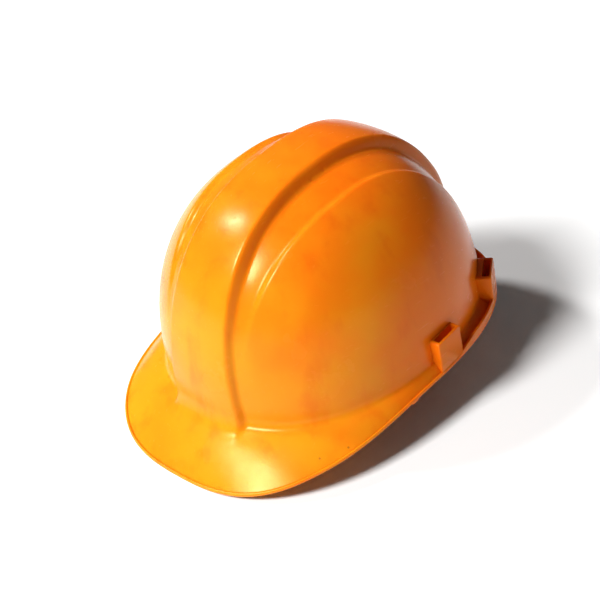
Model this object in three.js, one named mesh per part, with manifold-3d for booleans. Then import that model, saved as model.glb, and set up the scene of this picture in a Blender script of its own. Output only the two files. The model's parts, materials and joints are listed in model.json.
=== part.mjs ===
// Cap-style hard hat with a four-point suspension and a wheel ratchet.
// Millimetres, +Z up, -Y to the front (brim), +X to the wearer's left.
// The hat stands on the tip of its brim and on the nape cradle, so it leans forward.
import * as THREE from 'three';
import { mergeVertices } from 'three/addons/utils/BufferGeometryUtils.js';
import Module from 'manifold-3d';

const wasm = await Module();
wasm.setup();

// ---------------------------------------------------------------- driving dimensions

const GAP = 0.3; // clearance between two pieces that touch
const FORWARD_LEAN = THREE.MathUtils.degToRad(5);
const STAND_SHIFT_Y = -0.1; // moves the middle of the hat's length onto the origin
const STAND_HEIGHT = 32.4; // rim plane above the table at the middle of the hat

// Shell. The rim plane is z = 0, theta is 0 at the front and grows towards the left.
const WALL = 2.4;
const SECTORS = 72;
const DOME = {
  halfWidth: 101, front: 120, rear: 120.5, centreY: 17.5, planPower: 2.27,
  spreadPower: 2.41, climbPower: 2.25, baseZ: 9.5, apexZ: 147, apexShiftY: -3,
};
const RIM = {
  halfWidth: 109, front: 143.5, rear: 142, planPower: 2.75, tipDrop: 15, tipArch: 5,
  thickness: 2.6, bead: 0.7, lipWidth: 2.2, gutterLip: 5, gutterFrom: 1.86, gutterFade: 0.25,
};
const RIDGE = { rise: 5, halfWidthBase: 28, halfWidthTop: 19, shoulder: 5 };
const CHANNEL = {
  depth: 3.2, halfWidthFront: 35, halfWidthCrown: 48, halfWidthRear: 57, from: 0.3, to: 2.9, fade: 0.7,
};
const SLOT = {
  width: 25, pocketWidth: 20, pocketDepth: 5.4, pocketFloor: 6, wall: 2, bottom: 1, top: 27,
};
const SLOT_PLACES = [{ y: 31, depth: 11 }, { y: 106, depth: 12.5 }]; // front pair, rear pair
const LUG = { length: 6, depth: 3, height: 6, y: -11 };

// Suspension keys in their sockets. r is measured outwards from the shell's inner face.
const KEY_ANGLES = { front: Math.PI / 4, rear: 3 * Math.PI / 4 };
const SOCKET = { inner: -8, outer: 1.2, halfWidth: 14, bottom: 6, top: 32, slotInner: -5.8, slotOuter: -2 };
const SOCKET_SLOT = { halfWidth: 10, top: 28 };
const KEY = { halfWidth: 9.7, bottom: 2, floor: 3, tabTop: 27, plateTop: 34, plateFace: -14, plate: 2.4 };
const PEG = { radius: 2, hole: 2.4, z: 26 };
const HANGER = { halfWidth: 7, thickness: 1.6, bottom: 19, top: 33, slack: 1.4 };

// Crown straps: woven webbing over the head.
const STRAP = {
  width: 17, thickness: 1.2, r: -9.8, endZ: 7, springZ: 36, crownZ: 112, crossing: 2.1, steps: 22,
};
const CROWN_PAD = { radius: 42, thickness: 5, bend: 118, hole: 3 };
const CROWN_RIVET = { radius: 2.5, headRadius: 6, head: 1.8 };

// Headband frame: origin at the middle of the rear half circle, +Z along the band's height.
const BAND_ORIGIN = new THREE.Vector3(0, 28, 16);
const BAND_TILT = THREE.MathUtils.degToRad(-12);
const HEAD = { radius: 77, front: 110 };
const BAND = { thickness: 1.6, halfHeight: 14, end: 47, tabAngle: 54, tabHalf: 4, tabTop: 26 };
const BROW_PAD = { thickness: 4.5, halfHeight: 15.5, from: 112, flap: 7 };

// Adjusting arms: toothed straps that overlap behind the head. Angles are in degrees.
const ARM = { thickness: 1.6, halfHeight: 11, end: -24, front: 80, slotHalf: 20, step: 4 };
const ARM_RADIUS = { left: 79, right: 81 };
const SLEEVE = { from: 60.5, to: 92, outer: 85.4, wall: 1.4, hook: 1.3 };

// Gear: pinion between the racks of the two arms, one above and one below.
const MODULE = 1.25;
const TEETH = 10;
const PITCH_RADIUS = MODULE * TEETH / 2;
const RACK_RADIUS = (ARM_RADIUS.left + ARM_RADIUS.right) / 2; // the gear rolls between both arms
const RACK_STEP = THREE.MathUtils.radToDeg(Math.PI * MODULE / RACK_RADIUS);
const TOOTH = { addendum: 1.05, dedendum: 1.4, tip: 0.36, pitch: 0.8, root: 1.0, backlash: 0.5 };
const PRESSURE_ANGLE = THREE.MathUtils.degToRad(20);
const SLOT_CLEAR_EDGE = 8.1; // edge of an arm's slot that has no teeth
const GEAR_END_GAP = 0.8; // the gear's flat end clears the cover's curved ceiling

const COVER = { inner: 78.9, ceiling: 83.1, outer: 85.3, half: 19, height: 16, channel: 11.6 };
const BOSS = { radius: 14.5, top: 87.2, collar: 4.5, collarTop: 88.7 };
const CRADLE = { inner: 76.4, outer: 78.6, half: 30, top: 16 };
const NAPE_PAD = { inner: 72, outer: 76.1, half: 27, top: 13, bottom: -25 };
const RIVET = { radius: 1.5, hole: 1.8, head: 2.9, headHeight: 1.3, angle: 16.3, z: 13.8 };
const SHAFT = { radius: 3, hole: 3.3, from: 76.6, to: 94.9, flat: 2.2 };
const KNOB = {
  radius: 16.2, lobe: 0.8, lobes: 12, from: 87.5, to: 97.5, cavity: 12, notch: 0.8,
  notches: 24, cavityTop: 90.7, recess: 4.6, recessFrom: 95.2,
};
const SPRING = { from: 87.5, to: 88.9, ring: 7, hole: 4.8, armInner: 9.4, armOuter: 11.3, sweep: 100 };
const SCREW = { headRadius: 4, shankRadius: 1.5, hole: 1.8, depth: 7 };

// ---------------------------------------------------------------- small helpers

const rad = THREE.MathUtils.degToRad;
const smooth = (t) => THREE.MathUtils.smoothstep(t, 0, 1);

function plain(geometry) {
  const bare = geometry.clone();
  bare.deleteAttribute('normal');
  bare.deleteAttribute('uv');
  return mergeVertices(bare, 1e-4);
}

// Closed geometry from points and triangles, turned so that its faces point out.
function closedGeometry(points, triangles) {
  let volume = 0;
  for (const [a, b, c] of triangles) {
    volume += points[a].dot(new THREE.Vector3().crossVectors(points[b], points[c]));
  }
  const faces = volume < 0 ? triangles.map(([a, b, c]) => [a, c, b]) : triangles;
  const geometry = new THREE.BufferGeometry().setFromPoints(points);
  geometry.setIndex(faces.flat());
  return geometry;
}

// Triangles that fill an outline and turn the same way as it does.
function capTriangles(outline) {
  const corners = outline.map(([u, v]) => new THREE.Vector2(u, v));
  const turn = Math.sign(THREE.ShapeUtils.area(corners));
  return THREE.ShapeUtils.triangulateShape([...corners], []).map(([a, b, c]) => {
    const same = Math.sign(THREE.ShapeUtils.area([corners[a], corners[b], corners[c]])) === turn;
    return same ? [a, b, c] : [a, c, b];
  });
}

// Skin over equal outlines placed one after another, with both ends capped.
function sweep(outlines, place) {
  const size = outlines[0].length;
  const points = [];
  const triangles = [];
  outlines.forEach((outline, k) => outline.forEach(([u, v]) => points.push(place(k, u, v))));
  for (let k = 0; k + 1 < outlines.length; k++) {
    for (let i = 0; i < size; i++) {
      const a = k * size + i;
      const b = k * size + (i + 1) % size;
      triangles.push([a, b, b + size], [a, b + size, a + size]);
    }
  }
  const last = (outlines.length - 1) * size;
  for (const [a, b, c] of capTriangles(outlines[0])) triangles.push([c, b, a]);
  for (const corners of capTriangles(outlines.at(-1))) triangles.push(corners.map((i) => i + last));
  return closedGeometry(points, triangles);
}

function toManifold(geometry) {
  const bare = plain(geometry);
  return new wasm.Manifold(new wasm.Mesh({
    numProp: 3,
    vertProperties: new Float32Array(bare.attributes.position.array),
    triVerts: new Uint32Array(bare.index.array),
  }));
}

function toGeometry(manifold) {
  const mesh = manifold.getMesh();
  const geometry = new THREE.BufferGeometry();
  const positions = new Float32Array(mesh.vertProperties);
  geometry.setAttribute('position', new THREE.BufferAttribute(positions, 3));
  geometry.setIndex(new THREE.BufferAttribute(new Uint32Array(mesh.triVerts), 1));
  return geometry;
}

function combine(base, joined, removed) {
  let solid = toManifold(base);
  for (const geometry of joined) solid = solid.add(toManifold(geometry));
  for (const geometry of removed) solid = solid.subtract(toManifold(geometry));
  return toGeometry(solid);
}

function box(low, high) {
  const geometry = new THREE.BoxGeometry(high[0] - low[0], high[1] - low[1], high[2] - low[2]);
  return geometry.translate((low[0] + high[0]) / 2, (low[1] + high[1]) / 2, (low[2] + high[2]) / 2);
}

function mirrorX(geometry) {
  const flipped = plain(geometry).scale(-1, 1, 1);
  const index = flipped.index.array;
  for (let i = 0; i < index.length; i += 3) {
    [index[i], index[i + 1]] = [index[i + 1], index[i]];
  }
  return flipped;
}

// Round bar from one height to another along +Y, for parts on the knob's axis.
function barY(radius, from, to, sides = 24) {
  return new THREE.CylinderGeometry(radius, radius, to - from, sides).translate(0, (from + to) / 2, 0);
}

// Flat outline drawn in x and z, as thick as from..to along +Y.
function plateY(shape, from, to) {
  const settings = { depth: to - from, bevelEnabled: false, curveSegments: 10 };
  const geometry = new THREE.ExtrudeGeometry(shape, settings);
  return geometry.rotateX(Math.PI / 2).translate(0, to, 0);
}

// ---------------------------------------------------------------- shell surface

function planReach(theta, halfWidth, front, rear, power) {
  const along = Math.cos(theta) > 0 ? front : rear;
  const across = Math.abs(Math.sin(theta) / halfWidth) ** power;
  const ahead = Math.abs(Math.cos(theta) / along) ** power;
  return (across + ahead) ** (-1 / power);
}

// Point on the dome skin. level is 0 at the base and 1 at the crown.
function domePoint(theta, level, inset) {
  const { halfWidth, front, rear, planPower } = DOME;
  const reach = planReach(theta, halfWidth - inset, front - inset, rear - inset, planPower);
  const spread = Math.cos(level * Math.PI / 2) ** (2 / DOME.spreadPower);
  const climb = Math.sin(level * Math.PI / 2) ** (2 / DOME.climbPower);
  return new THREE.Vector3(
    reach * spread * Math.sin(theta),
    DOME.centreY + DOME.apexShiftY * climb - reach * spread * Math.cos(theta),
    DOME.baseZ + (DOME.apexZ - inset - DOME.baseZ) * climb,
  );
}

function rimPoint(theta, inward, up) {
  const { halfWidth, front, rear, planPower } = RIM;
  const reach = planReach(theta, halfWidth - inward, front - inward, rear - inward, planPower);
  const ahead = Math.max(Math.cos(theta), 0);
  const z = -RIM.tipDrop * ahead ** 2 - RIM.tipArch * smooth((ahead - 0.7) / 0.3);
  return new THREE.Vector3(reach * Math.sin(theta), -reach * Math.cos(theta), z + up);
}

// Point of the brim or flange between the dome's base (0) and the rim (1), on a falling curve.
function brimPoint(theta, out, drop) {
  const base = domePoint(theta, 0, 0);
  const edge = rimPoint(theta, RIM.lipWidth, RIM.thickness);
  const point = base.clone().lerp(edge, out);
  point.z = base.z + (edge.z - base.z) * out ** 1.4 - drop;
  return point;
}

function gutterLip(theta) {
  const behind = Math.acos(Math.cos(theta));
  return RIM.bead + RIM.gutterLip * smooth((behind - RIM.gutterFrom) / RIM.gutterFade);
}

// Rings of the shell from the crown outside, round the rim, to the crown inside.
function shellRings(theta) {
  const outside = [0.88, 0.76, 0.64, 0.52, 0.41, 0.31, 0.21, 0.12, 0.04, 0];
  const inside = [0, 0.07, 0.17, 0.3, 0.45, 0.6, 0.75, 0.88];
  const underside = RIM.thickness;
  return [
    ...outside.map((level) => domePoint(theta, level, 0)),
    brimPoint(theta, 0.15, 1.2),
    brimPoint(theta, 0.55, 0),
    brimPoint(theta, 1, 0),
    rimPoint(theta, RIM.lipWidth - 0.4, RIM.thickness + gutterLip(theta)),
    rimPoint(theta, 0.4, RIM.thickness + gutterLip(theta)),
    rimPoint(theta, 0, 0.5),
    rimPoint(theta, 0.8, 0),
    brimPoint(theta, 0.9, underside),
    brimPoint(theta, 0.5, underside),
    ...inside.map((level) => domePoint(theta, level, WALL)),
  ];
}

function shellSkin() {
  const points = [domePoint(0, 1, 0)];
  const triangles = [];
  const columns = [];
  for (let i = 0; i < SECTORS; i++) columns.push(shellRings(2 * Math.PI * i / SECTORS));
  const rings = columns[0].length;
  columns.forEach((column) => points.push(...column));
  points.push(domePoint(0, 1, WALL));
  const at = (i, k) => 1 + (i % SECTORS) * rings + k;
  for (let i = 0; i < SECTORS; i++) {
    triangles.push([0, at(i, 0), at(i + 1, 0)]);
    triangles.push([points.length - 1, at(i + 1, rings - 1), at(i, rings - 1)]);
    for (let k = 0; k + 1 < rings; k++) {
      triangles.push([at(i, k), at(i, k + 1), at(i + 1, k + 1)]);
      triangles.push([at(i, k), at(i + 1, k + 1), at(i + 1, k)]);
    }
  }
  return closedGeometry(points, triangles);
}

// Point above the dome at side distance x. phi runs from 0 at the front base, over the crown,
// to pi at the rear base. lift is measured along the surface's normal.
function overDome(x, phi, lift) {
  const along = Math.cos(phi) > 0 ? DOME.front : DOME.rear;
  const across = Math.min(Math.abs(x) / DOME.halfWidth, 1) ** DOME.planPower;
  const flatY = -along * Math.cos(phi) * (1 - across) ** (1 / DOME.planPower);
  const plan = across + Math.abs(flatY / along) ** DOME.planPower;
  const spread = Math.min(plan ** (1 / DOME.planPower), 1);
  const climb = (1 - spread ** DOME.spreadPower) ** (1 / DOME.climbPower);
  const height = DOME.apexZ - DOME.baseZ;
  const slope = Math.max(spread, 1e-3) ** (DOME.spreadPower - DOME.planPower) * DOME.spreadPower;
  const normal = new THREE.Vector3(
    Math.sign(x) * slope * Math.abs(x / DOME.halfWidth) ** (DOME.planPower - 1) / DOME.halfWidth,
    Math.sign(flatY) * slope * Math.abs(flatY / along) ** (DOME.planPower - 1) / along,
    DOME.climbPower * climb ** (DOME.climbPower - 1) / height,
  ).normalize();
  const y = DOME.centreY + DOME.apexShiftY * climb + flatY;
  const point = new THREE.Vector3(x, y, DOME.baseZ + height * climb);
  return point.addScaledVector(normal, lift);
}

// Strip that lies along the dome from front to rear. columns(phi) gives [x, low lift, high lift].
function domeStrip(columns, from, to, steps, footDrop) {
  const phis = Array.from({ length: steps + 1 }, (_, k) => from + (to - from) * k / steps);
  const drops = phis.map(() => 0);
  if (footDrop > 0) {
    phis.unshift(from);
    phis.push(to);
    drops.unshift(footDrop);
    drops.push(footDrop);
  }
  const outlines = phis.map((phi) => {
    const list = columns(phi);
    const under = list.map(([x, low]) => [x, low]);
    const over = list.map(([x, , high]) => [x, high]).reverse();
    return [...under, ...over];
  });
  return sweep(outlines, (k, x, lift) => {
    const point = overDome(x, phis[k], lift);
    point.z -= drops[k];
    return point;
  });
}

function ridgeHalfWidth(phi) {
  const climb = Math.sin(phi);
  return RIDGE.halfWidthBase + (RIDGE.halfWidthTop - RIDGE.halfWidthBase) * climb;
}

function ridge() {
  return domeStrip((phi) => {
    const w = ridgeHalfWidth(phi);
    const foot = w + RIDGE.shoulder;
    return [[-foot, -1.8, -0.5], [-w, -1.8, RIDGE.rise], [-w / 2, -1.8, RIDGE.rise], [0, -1.8, RIDGE.rise],
      [w / 2, -1.8, RIDGE.rise], [w, -1.8, RIDGE.rise], [foot, -1.8, -0.5]];
  }, 0.02, Math.PI - 0.02, 20, 4);
}

function ridgeHollow() {
  const top = RIDGE.rise - WALL;
  return domeStrip((phi) => {
    const w = ridgeHalfWidth(phi) - 1.5;
    return [[-w - 4, -6, -3.2], [-w, -6, top], [0, -6, top], [w, -6, top], [w + 4, -6, -3.2]];
  }, 0.2, Math.PI - 0.2, 16, 0);
}

// The sunk channel beside the ridge: narrow at the front, wide over the crown and behind.
function channelEdges(phi) {
  const { halfWidthFront, halfWidthCrown, halfWidthRear } = CHANNEL;
  const inner = ridgeHalfWidth(phi) + RIDGE.shoulder + 0.6;
  const ahead = halfWidthFront + (halfWidthCrown - halfWidthFront) * smooth(phi / (Math.PI / 2));
  const behind = (halfWidthRear - halfWidthCrown) * smooth((phi - Math.PI / 2) / (Math.PI / 2));
  return [inner, Math.max(ahead + behind, inner + 1)];
}

function channelStrip(grow, below, high) {
  return domeStrip((phi) => {
    const [inner, outer] = channelEdges(phi);
    const depth = CHANNEL.depth * smooth((phi - CHANNEL.from) / CHANNEL.fade);
    const edges = [inner - grow, (inner + outer) / 2, outer + grow];
    return edges.map((x) => [x, -depth - below, high]);
  }, CHANNEL.from, CHANNEL.to, 15, 0);
}

// Accessory slot on the flange: a block with a pocket that is open at the top.
function slotFrame(y) {
  const theta = Math.acos(-y / RIM.rear);
  let best = theta;
  for (let k = 0; k < 20; k++) {
    const point = rimPoint(best, 0, 0);
    best += (y - point.y) / RIM.rear;
  }
  const point = rimPoint(best, 0, 0);
  const ahead = rimPoint(best - 0.01, 0, 0).sub(rimPoint(best + 0.01, 0, 0));
  return { point, turn: Math.atan2(ahead.y, ahead.x) + Math.PI / 2 };
}

function slotPiece(y, low, high) {
  const { point, turn } = slotFrame(y);
  return box(low, high).rotateZ(turn).translate(point.x, point.y, 0);
}

function slotBlock({ y, depth }) {
  const half = SLOT.width / 2;
  return slotPiece(y, [-depth, -half, SLOT.bottom], [-0.6, half, SLOT.top]);
}

function slotPocket({ y }) {
  const half = SLOT.pocketWidth / 2;
  const inner = -SLOT.wall - SLOT.pocketDepth;
  return slotPiece(y, [inner, -half, SLOT.pocketFloor], [-SLOT.wall, half, SLOT.top + 9]);
}

// Point and outward direction of the shell's inner face at a key, and the turn of its frame.
function keyFrame(theta) {
  const point = domePoint(theta, 0.1, WALL);
  const ahead = domePoint(theta - 0.01, 0.1, WALL).sub(domePoint(theta + 0.01, 0.1, WALL));
  const outward = new THREE.Vector3(-ahead.y, ahead.x, 0).normalize();
  if (outward.dot(new THREE.Vector3(point.x, point.y - DOME.centreY, 0)) < 0) outward.negate();
  return { point, outward, turn: Math.atan2(outward.y, outward.x) };
}

function atKey(geometry, theta) {
  const { point, turn } = keyFrame(theta);
  return geometry.rotateZ(turn).translate(point.x, point.y, 0);
}

function socketBlock(theta) {
  const low = [SOCKET.inner, -SOCKET.halfWidth, SOCKET.bottom];
  const high = [SOCKET.outer, SOCKET.halfWidth, SOCKET.top];
  return atKey(box(low, high), theta);
}

function socketSlot(theta) {
  const low = [SOCKET.slotInner, -SOCKET_SLOT.halfWidth, SOCKET.bottom - 2];
  const high = [SOCKET.slotOuter, SOCKET_SLOT.halfWidth, SOCKET_SLOT.top];
  return atKey(box(low, high), theta);
}

function lug(side) {
  const outer = rimPoint(Math.PI / 2, 0, 0).x - 1.5;
  const low = [outer - LUG.height, LUG.y - LUG.length / 2, -LUG.depth];
  const high = [outer, LUG.y + LUG.length / 2, 1.5];
  const piece = box(low, high);
  return side > 0 ? piece : mirrorX(piece);
}

function shell() {
  const bothSides = (geometry) => [geometry, mirrorX(geometry)];
  const joined = [
    ridge(),
    ...bothSides(channelStrip(2.5, WALL, -1.4)),
    ...SLOT_PLACES.flatMap((place) => bothSides(slotBlock(place))),
    ...KEY_THETAS.map(socketBlock),
    lug(1),
    lug(-1),
  ];
  const removed = [
    ridgeHollow(),
    ...bothSides(channelStrip(0, 0, 6)),
    ...SLOT_PLACES.flatMap((place) => bothSides(slotPocket(place))),
    ...KEY_THETAS.map(socketSlot),
  ];
  return combine(shellSkin(), joined, removed);
}

// ---------------------------------------------------------------- keys, hangers, straps

// Piece with an outline in r and z, as wide as +-halfWidth along the wall.
function profilePiece(outline, halfWidth) {
  const place = (k, r, z) => new THREE.Vector3(r, k === 0 ? -halfWidth : halfWidth, z);
  return sweep([outline, outline], place);
}

function pegBar(radius, from, to) {
  return barY(radius, from, to, 16).rotateZ(-Math.PI / 2).translate(0, 0, PEG.z);
}

function suspensionKey() {
  const tabIn = SOCKET.slotInner + GAP;
  const tabOut = SOCKET.slotOuter - GAP;
  const back = KEY.plateFace + KEY.plate;
  const floor = KEY.bottom + KEY.floor;
  const outline = [
    [KEY.plateFace, KEY.bottom], [tabOut, KEY.bottom], [tabOut, KEY.tabTop], [tabIn, KEY.tabTop],
    [tabIn, floor], [back, floor], [back, KEY.plateTop], [KEY.plateFace, KEY.plateTop],
  ];
  const hole = pegBar(PEG.hole, KEY.plateFace - 1, back + 1);
  return combine(profilePiece(outline, KEY.halfWidth), [], [hole]);
}

// U-shaped hanger from the key's plate to the headband, with a peg at each end.
function hanger(span) {
  const { thickness, bottom, top } = HANGER;
  const outer = KEY.plateFace - GAP;
  const bandFace = KEY.plateFace - span;
  const inner = bandFace + HANGER.slack;
  const outline = [
    [outer, top], [outer - thickness, top], [outer - thickness, bottom + thickness],
    [inner + thickness, bottom + thickness], [inner + thickness, top], [inner, top],
    [inner, bottom], [outer, bottom],
  ];
  const pegs = [
    pegBar(PEG.radius, outer - thickness / 2, KEY.plateFace + KEY.plate + 0.4),
    pegBar(PEG.radius, bandFace - BAND.thickness + 0.4, inner + thickness / 2),
  ];
  return combine(profilePiece(outline, HANGER.halfWidth), pegs, []);
}

// Where a strap ends at a key, and the direction across it there.
function strapFoot(theta) {
  const { point, outward } = keyFrame(theta);
  const foot = new THREE.Vector3(point.x, point.y, 0).addScaledVector(outward, STRAP.r);
  return { foot, across: new THREE.Vector3(-outward.y, outward.x, 0) };
}

// Webbing strap from one key over the crown to the opposite key: a half ellipse with straight ends.
function strap(from, to, raise) {
  const ends = [strapFoot(from), strapFoot(to)];
  const middle = ends[0].foot.clone().lerp(ends[1].foot, 0.5);
  const flat = new THREE.Vector3().subVectors(ends[1].foot, ends[0].foot);
  const half = flat.length() / 2;
  const height = STRAP.crownZ + raise - STRAP.springZ;
  flat.normalize();
  const square = new THREE.Vector3(-flat.y, flat.x, 0);
  for (const end of ends) {
    if (end.across.dot(square) < 0) end.across.negate();
  }
  const stations = [];
  for (let k = -1; k <= STRAP.steps + 1; k++) {
    const psi = Math.PI * THREE.MathUtils.clamp(k / STRAP.steps, 0, 1);
    const onLeg = k < 0 || k > STRAP.steps;
    const centre = middle.clone().addScaledVector(flat, -half * Math.cos(psi));
    centre.z = onLeg ? STRAP.endZ : STRAP.springZ + height * Math.sin(psi);
    const along = flat.clone().multiplyScalar(half * Math.sin(psi));
    along.z = height * Math.cos(psi);
    const end = psi < Math.PI / 2 ? ends[0] : ends[1];
    const width = end.across.clone().lerp(square, smooth(2 * Math.sin(psi))).normalize();
    const normal = new THREE.Vector3().crossVectors(width, along).normalize();
    stations.push({ centre, normal, width });
  }
  const w = STRAP.width / 2;
  const t = STRAP.thickness / 2;
  const place = (k, u, v) => stations[k].centre.clone()
    .addScaledVector(stations[k].width, u)
    .addScaledVector(stations[k].normal, v);
  return sweep(stations.map(() => rectangle(-w, w, -t, t)), place);
}

function crossingY() {
  const a = keyFrame(KEY_ANGLES.front);
  const b = keyFrame(KEY_ANGLES.rear);
  const front = a.point.clone().addScaledVector(a.outward, STRAP.r);
  const rear = b.point.clone().addScaledVector(b.outward, STRAP.r);
  return front.y + (rear.y - front.y) * front.x / (front.x + rear.x);
}

function uprightBar(radius, from, to, y) {
  const bar = new THREE.CylinderGeometry(radius, radius, to - from, 20).rotateX(Math.PI / 2);
  return bar.translate(0, y, (from + to) / 2);
}

function drilledStrap(from, to, raise) {
  const hole = uprightBar(CROWN_RIVET.radius + GAP, STRAP.crownZ - 10, STRAP.crownZ + 10, crossingY());
  return combine(strap(from, to, raise), [], [hole]);
}

// Domed foam disc with a hole in its middle for the crown rivet.
function crownPad() {
  const { radius, thickness, bend, hole } = CROWN_PAD;
  const sag = (r, ball) => Math.sqrt(ball * ball - r * r) - ball;
  const steps = [0, 0.3, 0.6, 0.85, 1].map((t) => hole + (radius - hole) * t);
  const top = steps.map((r) => new THREE.Vector2(r, sag(r, bend)));
  const bottom = steps.map((r) => new THREE.Vector2(r, sag(r, bend) - thickness)).reverse();
  bottom[0].x -= 1.5;
  const outline = [...top, ...bottom, top[0].clone()].reverse();
  const pad = new THREE.LatheGeometry(outline, 28).rotateX(Math.PI / 2);
  return pad.translate(0, crossingY(), STRAP.crownZ - STRAP.thickness / 2 - GAP);
}

function crownRivet() {
  const y = crossingY();
  const top = STRAP.crownZ + STRAP.crossing + STRAP.thickness / 2 + GAP;
  const bottom = STRAP.crownZ - STRAP.thickness / 2 - CROWN_PAD.thickness - 2 * GAP;
  const shank = uprightBar(CROWN_RIVET.radius, bottom - 0.5, top + 0.5, y);
  const upper = uprightBar(CROWN_RIVET.headRadius, top, top + CROWN_RIVET.head, y);
  const lower = uprightBar(CROWN_RIVET.headRadius, bottom - CROWN_RIVET.head, bottom, y);
  return combine(shank, [upper, lower], []);
}

// ---------------------------------------------------------------- headband and ratchet

// Point round the head: angle in degrees from the nape, offset outwards from the band's inner face.
function aroundHead(angle, offset, z) {
  const a = rad(angle);
  const along = Math.cos(a) < 0 ? HEAD.front : HEAD.radius;
  return new THREE.Vector3((HEAD.radius + offset) * Math.sin(a), (along + offset) * Math.cos(a), z);
}

// Strip bent round the head. outlineAt(angle) gives [offset, z] points.
function headStrip(angles, outlineAt) {
  return sweep(angles.map(outlineAt), (k, offset, z) => aroundHead(angles[k], offset, z));
}

function rectangle(inner, outer, low, high) {
  return [[inner, low], [outer, low], [outer, high], [inner, high]];
}

function spread(from, to, step) {
  const count = Math.max(1, Math.round(Math.abs(to - from) / step));
  return Array.from({ length: count + 1 }, (_, k) => from + (to - from) * k / count);
}

function headband() {
  const { end, tabAngle, tabHalf, tabTop, thickness, halfHeight } = BAND;
  const tabStep = tabHalf + 1.5;
  const edge = [tabAngle - tabStep, tabAngle - tabHalf, tabAngle, tabAngle + tabHalf, tabAngle + tabStep];
  const side = [end, ...edge, ...spread(64, 176, 7)];
  const angles = [...side, 180, ...side.map((angle) => 360 - angle).reverse()];
  const fromNape = (angle) => Math.min(angle, 360 - angle);
  const strip = headStrip(angles, (angle) => {
    const onTab = Math.abs(fromNape(angle) - tabAngle) <= tabHalf + 0.01;
    return rectangle(0, thickness, -halfHeight, onTab ? tabTop : halfHeight);
  });
  const holes = HANGER_PLACES.map((place) => pegHole(place));
  return combine(strip, [], holes);
}

// C-shaped pad that hangs over the top edge of the headband.
function browPad() {
  const { thickness, halfHeight, from, flap } = BROW_PAD;
  const flapIn = BAND.thickness + GAP;
  const flapOut = flapIn + 1.3;
  const outline = [
    [-GAP - thickness, -halfHeight], [-GAP, -halfHeight], [-GAP, BAND.halfHeight + GAP],
    [flapIn, BAND.halfHeight + GAP], [flapIn, halfHeight - flap], [flapOut, halfHeight - flap],
    [flapOut, halfHeight], [-GAP - thickness, halfHeight],
  ];
  return headStrip(spread(from, 360 - from, 5), () => outline);
}

// Clip-on guide outside the headband: the arm slides between it and the band.
function sleeve() {
  const outer = SLEEVE.outer - HEAD.radius;
  const edge = BAND.halfHeight + GAP;
  const top = edge + SLEEVE.wall;
  const hookEnd = BAND.halfHeight - 1.2;
  const half = [
    [outer, top], [-GAP - SLEEVE.hook, top], [-GAP - SLEEVE.hook, hookEnd],
    [-GAP, hookEnd], [-GAP, edge], [outer - SLEEVE.wall, edge],
  ];
  const outline = [...half, ...half.map(([u, v]) => [u, -v]).reverse()];
  return headStrip(spread(SLEEVE.from, SLEEVE.to, 5), () => outline);
}

// Tapered gap between two rack teeth, cut radially through an arm.
function rackGap(angle, radius, side) {
  const halfGap = (depth) => (Math.PI * MODULE + TOOTH.backlash) / 4 - depth * Math.tan(PRESSURE_ANGLE);
  const above = TOOTH.addendum + 0.5;
  const tip = side * (PITCH_RADIUS - above);
  const root = side * (PITCH_RADIUS + TOOTH.dedendum);
  const wide = halfGap(-above);
  const narrow = halfGap(TOOTH.dedendum);
  const corners = [[-wide, tip], [wide, tip], [narrow, root], [-narrow, root]];
  const place = (k, u, z) => new THREE.Vector3(u, radius + (k === 0 ? -1 : ARM.thickness + 1), z)
    .applyAxisAngle(new THREE.Vector3(0, 0, 1), -rad(angle));
  return sweep([corners, corners], place);
}

// Arm for the wearer's left: it comes round from the left side and passes the nape.
// rackSide is the edge of the slot that carries the teeth, -1 below and 1 above.
function arm(radius, rackSide) {
  const inner = radius - HEAD.radius;
  const outer = inner + ARM.thickness;
  const toothLine = rackSide * (PITCH_RADIUS - TOOTH.addendum);
  const clearLine = -rackSide * SLOT_CLEAR_EDGE;
  const low = Math.min(toothLine, clearLine);
  const high = Math.max(toothLine, clearLine);
  const blank = headStrip(spread(ARM.end, ARM.front, ARM.step), (angle) => {
    const nearEnd = Math.min(angle - ARM.end, ARM.front - angle) < 0.01;
    const half = ARM.halfHeight - (nearEnd ? 2.5 : 0);
    return rectangle(inner, outer, -half, half);
  });
  const slotAngles = spread(-ARM.slotHalf, ARM.slotHalf, ARM.step);
  const slot = headStrip(slotAngles, () => rectangle(inner - 1, outer + 1, low, high));
  const count = Math.floor((ARM.slotHalf - 1.2) / RACK_STEP);
  const gaps = [];
  for (let k = -count; k < count; k++) gaps.push(rackGap((k + 0.5) * RACK_STEP, radius, rackSide));
  return combine(blank, [], [slot, ...gaps]);
}

function pinionOutline() {
  const shape = new THREE.Shape();
  const tipRadius = PITCH_RADIUS + TOOTH.addendum;
  const rootRadius = PITCH_RADIUS - TOOTH.dedendum + 0.1;
  for (let k = 0; k < TEETH; k++) {
    const middle = (k + 0.5) * 2 * Math.PI / TEETH;
    const corners = [
      [rootRadius, -TOOTH.root], [PITCH_RADIUS, -TOOTH.pitch], [tipRadius, -TOOTH.tip],
      [tipRadius, TOOTH.tip], [PITCH_RADIUS, TOOTH.pitch], [rootRadius, TOOTH.root],
    ];
    corners.forEach(([r, side], i) => {
      const angle = middle + Math.atan2(side, r);
      const point = [r * Math.sin(angle), r * Math.cos(angle)];
      if (k === 0 && i === 0) shape.moveTo(...point);
      else shape.lineTo(...point);
    });
  }
  shape.closePath();
  return shape;
}

// Round outline with one flat, for the drive end of the shaft.
function flattedOutline(radius, flat) {
  const shape = new THREE.Shape();
  const half = Math.acos(flat / radius);
  shape.absarc(0, 0, radius, half, 2 * Math.PI - half, false);
  shape.closePath();
  return shape;
}

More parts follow.
